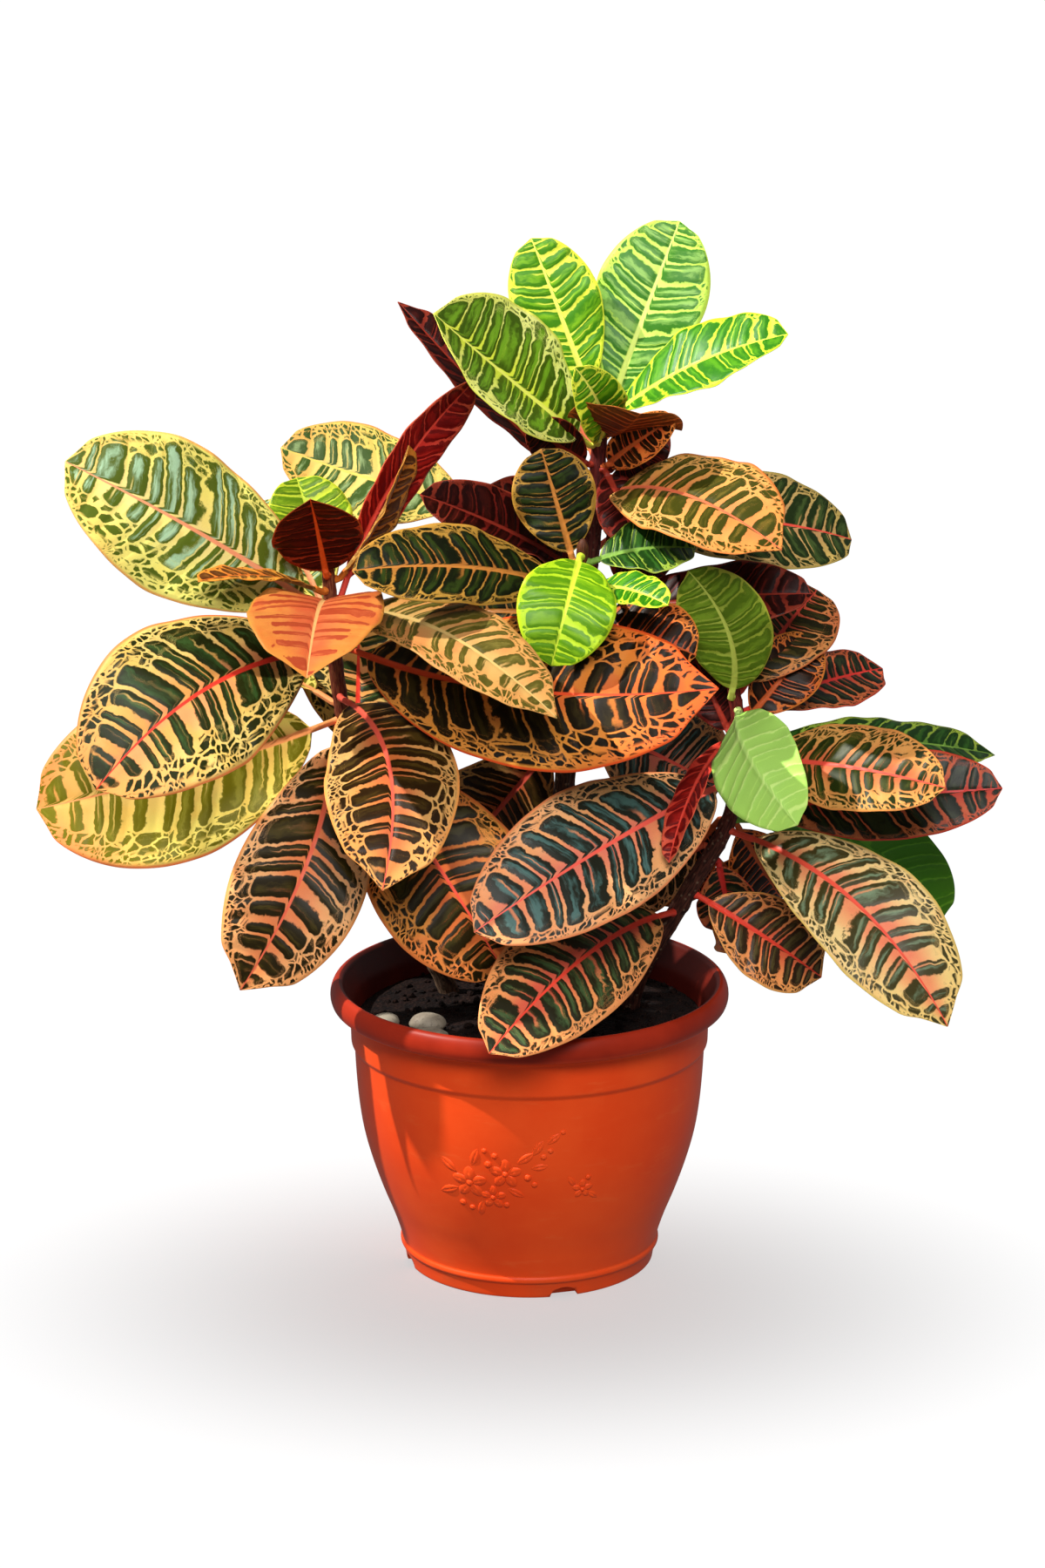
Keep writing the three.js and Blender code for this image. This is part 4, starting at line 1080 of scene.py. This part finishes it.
def soil_material():
    material, g = new_material("soil", Specular_IOR_Level=0.15)
    place = g.place()
    lumps = g.noise(place, 120.0, 5, 0.65)
    fibres = g.noise(place, 600.0, 3, 0.7)
    ground = g.mix(g.step(lumps, 0.35, 0.65), colour(8, 3, 4), colour(30, 15, 12))
    ground = g.mix(g.step(fibres, 0.55, 0.7) * 0.6, ground, colour(64, 42, 28))
    relief = lumps * 1.2 + g.cells(place, 420.0) * 0.8
    g.dress(ground, 0.8 + lumps * 0.2, g.bump(relief, 0.9, SOIL_BUMP))
    return material


def soil_height(x, y):
    """The soil's surface: mounded towards the middle, lower at the wall, and lumpy."""
    reach = min(math.hypot(x, y) / MOUND_R, 1)
    level = SOIL_TOP + MOUND * (1 - reach ** 1.3) - EDGE_DROP * max(reach - EDGE_FROM, 0) / (1 - EDGE_FROM)
    lumps = sum(height * noise.noise(Vector((x * fine, y * fine, layer)))
                for fine, layer, height in SOIL_LUMPS)
    return level + lumps * (1 - 0.6 * reach) - 0.6


def soil_piece(material):
    """The soil, with crumbs lying on it."""
    edge = NECK_R - WALL - SOIL_GAP
    points = [(x, y, SOIL_TOP - SOIL_DEPTH) for x, y in circle(edge - SOIL_TAPER, SOIL_SIDES)]
    for i in range(SOIL_RINGS):
        points += [(x, y, soil_height(x, y)) for x, y in circle(edge * (1 - i / SOIL_RINGS), SOIL_SIDES)]
    faces = closed_faces(SOIL_RINGS + 1, SOIL_SIDES)
    chance = random.Random(SOIL_SEED)
    for _ in range(CRUMBS):
        reach = (edge - CRUMB_MARGIN) * math.sqrt(chance.random())
        turn = chance.uniform(0, 2 * math.pi)
        x, y = reach * math.cos(turn), reach * math.sin(turn)
        size = chance.uniform(*(CRUMB_SIZES if chance.random() < SMALL_CRUMBS else LARGE_SIZES))
        add_crumb(points, faces, (x, y, soil_height(x, y) + size * 0.1), size, chance)
    finish_piece(mesh_object("soil_surface", points, faces, material), "soil", "soil")


def add_crumb(points, faces, middle, size, chance):
    """A rough ball of a few faces."""
    faces += closed_faces(CRUMB_BANDS, CRUMB_SIDES, len(points))
    shape = np.array([chance.uniform(0.6, 1.2) for _ in range(3)])
    for i in range(CRUMB_BANDS):
        rise = math.pi * (i + 0.5) / CRUMB_BANDS
        for x, y in circle(math.sin(rise), CRUMB_SIDES):
            rough = chance.uniform(0.75, 1.15) * size
            points.append(middle + np.array([x, y, -math.cos(rise) * 0.8]) * rough * shape)


def pebble_material():
    material, g = new_material("pebble", Specular_IOR_Level=0.4)
    place = g.place()
    veins = g.noise(place, 60.0, 5, 0.6)
    specks = g.noise(place, 520.0, 3, 0.6)
    stone = g.mix(g.step(veins, 0.35, 0.65), colour(116, 104, 90), colour(152, 142, 126))
    stone = g.mix(g.step(specks, 0.56, 0.66) * 0.5, stone, colour(84, 72, 60))
    g.dress(stone, 0.5 + veins * 0.3, g.bump(specks, 0.25, PEBBLE_BUMP))
    return material


def pebble_piece(name, material):
    """A water-worn stone: a flattened ball with soft dents."""
    middle, halves, turn = PEBBLES[name]
    middle = Vector(middle)
    around = Matrix.Rotation(math.radians(turn), 3, "Z")
    points = []
    for i in range(1, PEBBLE_BANDS):
        rise = math.pi * i / PEBBLE_BANDS
        for x, y in circle(math.sin(rise), PEBBLE_SIDES):
            ball = Vector((x, y, -math.cos(rise)))
            dent = 1 - PEBBLE_DENT * (0.5 + noise.noise(ball * 1.3 + middle))
            points.append(around @ (ball * Vector(halves) * dent) + middle)
    piece = mesh_object(name + "_stone", points, closed_faces(PEBBLE_BANDS - 1, PEBBLE_SIDES), material)
    finish_piece(piece, name, "pebble")


# -------------------------------- camera, floor and light, in metres
CAMERA_AT = (0, -2.8, 1.114)
CAMERA_TILT = math.radians(73.98)
LENS = 108
SENSOR = 36
AXIS_ASIDE = 8  # the pot's axis lies so many pixels right of the picture's middle
PICTURE_HEIGHT = 1800  # in pixels

WHITE = (1, 1, 1, 1)
BLACK = (0, 0, 0, 1)
FLOOR_TONE = (0.4, 0.4, 0.4, 1)
FLOOR_HALF = 30000  # half the floor's width, in millimetres
GLOW_NEAR = 0.55  # the floor's own light by the pot, kept low there as a painted soft shadow
GLOW_GAIN = 0.4  # and how much it gains further off
GLOW_AT = (0.05, 0.42)  # between these distances from the middle of the painted soft shadow
SHADE_AT = -0.08  # the painted shadow lies a little in front of the pot
SHADE_WIDTH = 1.35  # its width, as a share of its depth
ROOM = 0.99  # half the width of the white room, as a share of the floor's

WORLD_LIGHT = 0.25
# Each lamp: its place, the place it is turned to, its width, power and tint.
LAMPS = {
    "key": ((-3.74, -0.58, 4.82), (0, -0.05, 0.15), 0.1, 540, (1, 0.97, 0.9)),
    "front": ((0.05, -2.45, 2.2), (0, 0, 0.3), 1.3, 70, (1, 0.99, 0.96)),
}


def make_camera():
    """The photograph's view, looking down a little."""
    data = bpy.data.cameras.new("camera")
    data.lens = LENS
    data.sensor_width = SENSOR
    data.shift_x = -AXIS_ASIDE / PICTURE_HEIGHT
    camera = bpy.data.objects.new("camera", data)
    camera.location = CAMERA_AT
    camera.rotation_euler = (CAMERA_TILT, 0, 0)
    bpy.context.scene.collection.objects.link(camera)
    bpy.context.scene.camera = camera


def square(half, height):
    return [(-half, -half, height), (half, -half, height), (half, half, height), (-half, half, height)]


def make_floor():
    """A white floor that glows a little, so that it stays white far off, and glows less by the pot as a
    painted soft shadow.
    """
    material, g = new_material("floor", Roughness=0.9, Specular_IOR_Level=0.0, Base_Color=FLOOR_TONE,
                               Emission_Color=WHITE)
    x, y, _ = g.split(g.place())
    back = (y - SHADE_AT) * SHADE_WIDTH
    glow = GLOW_NEAR + g.step(g.math("SQRT", x * x + back * back), *GLOW_AT) * GLOW_GAIN
    g.feed(material.node_tree.nodes["Principled BSDF"].inputs["Emission Strength"], glow)
    floor = mesh_object("floor", square(FLOOR_HALF, 0), [(0, 1, 2, 3)], material)
    floor.visible_diffuse = False
    floor.visible_glossy = False
    return floor


def make_backdrop():
    """A white room round the floor. Only the camera sees it."""
    material, _ = new_material("backdrop", Roughness=0.9, Specular_IOR_Level=0.0, Base_Color=BLACK,
                               Emission_Color=WHITE, Emission_Strength=1.0)
    half = FLOOR_HALF * ROOM
    faces = ring_faces(2, 4) + [(4, 5, 6, 7)]
    room = mesh_object("backdrop", square(half, -half) + square(half, half), faces, material, smooth=False)
    room.visible_diffuse = False
    room.visible_glossy = False
    room.visible_shadow = False


def make_lamp(name):
    place, target, width, power, tint = LAMPS[name]
    data = bpy.data.lights.new(name, "AREA")
    data.shape = "DISK"
    data.size = width
    data.energy = power
    data.color = tint
    lamp = bpy.data.objects.new(name, data)
    lamp.location = place
    lamp.rotation_euler = (Vector(target) - Vector(place)).to_track_quat("-Z", "Y").to_euler()
    bpy.context.scene.collection.objects.link(lamp)
    return lamp


def make_light(floor):
    """Even light from all round, a small key light high on the left and a wide soft one above the front.
    Both lamps leave the floor out, so that their shadows fall on the plant and the pot alone."""
    world = bpy.data.worlds.new("studio")
    world.use_nodes = True
    background = world.node_tree.nodes["Background"].inputs
    background["Color"].default_value = WHITE
    background["Strength"].default_value = WORLD_LIGHT
    bpy.context.scene.world = world
    unlit = bpy.data.collections.new("lit_by_lamps")
    unlit.objects.link(floor)
    unlit.collection_objects[0].light_linking.link_state = "EXCLUDE"
    for name in LAMPS:
        make_lamp(name).light_linking.receiver_collection = unlit
    bpy.context.scene.view_settings.view_transform = "Standard"


# -------------------------------- everything
make_camera()
make_light(make_floor())
make_backdrop()
POT = pot_material()
pot_piece(POT)
ornament_piece(POT)
soil_piece(soil_material())
PEBBLE = pebble_material()
for pebble in PEBBLES:
    pebble_piece(pebble, PEBBLE)
for stem in STEMS:
    stem_piece(stem)
for stem, rows in LEAVES.items():
    for number, row in enumerate(rows, 1):
        leaf_piece(f"{stem}_leaf_{number:02d}", stem, row, f"{stem}_leaf_{number:02d}")
for stem, row in YOUNG_LEAVES.items():
    leaf_piece(stem + "_young_leaf", stem, row, stem + "_stem")
for stem, rows in SMALL_LEAVES.items():
    for number, row in enumerate(rows, 1):
        leaf_piece(f"{stem}_small_leaf_{number}", stem, row, stem + "_stem")
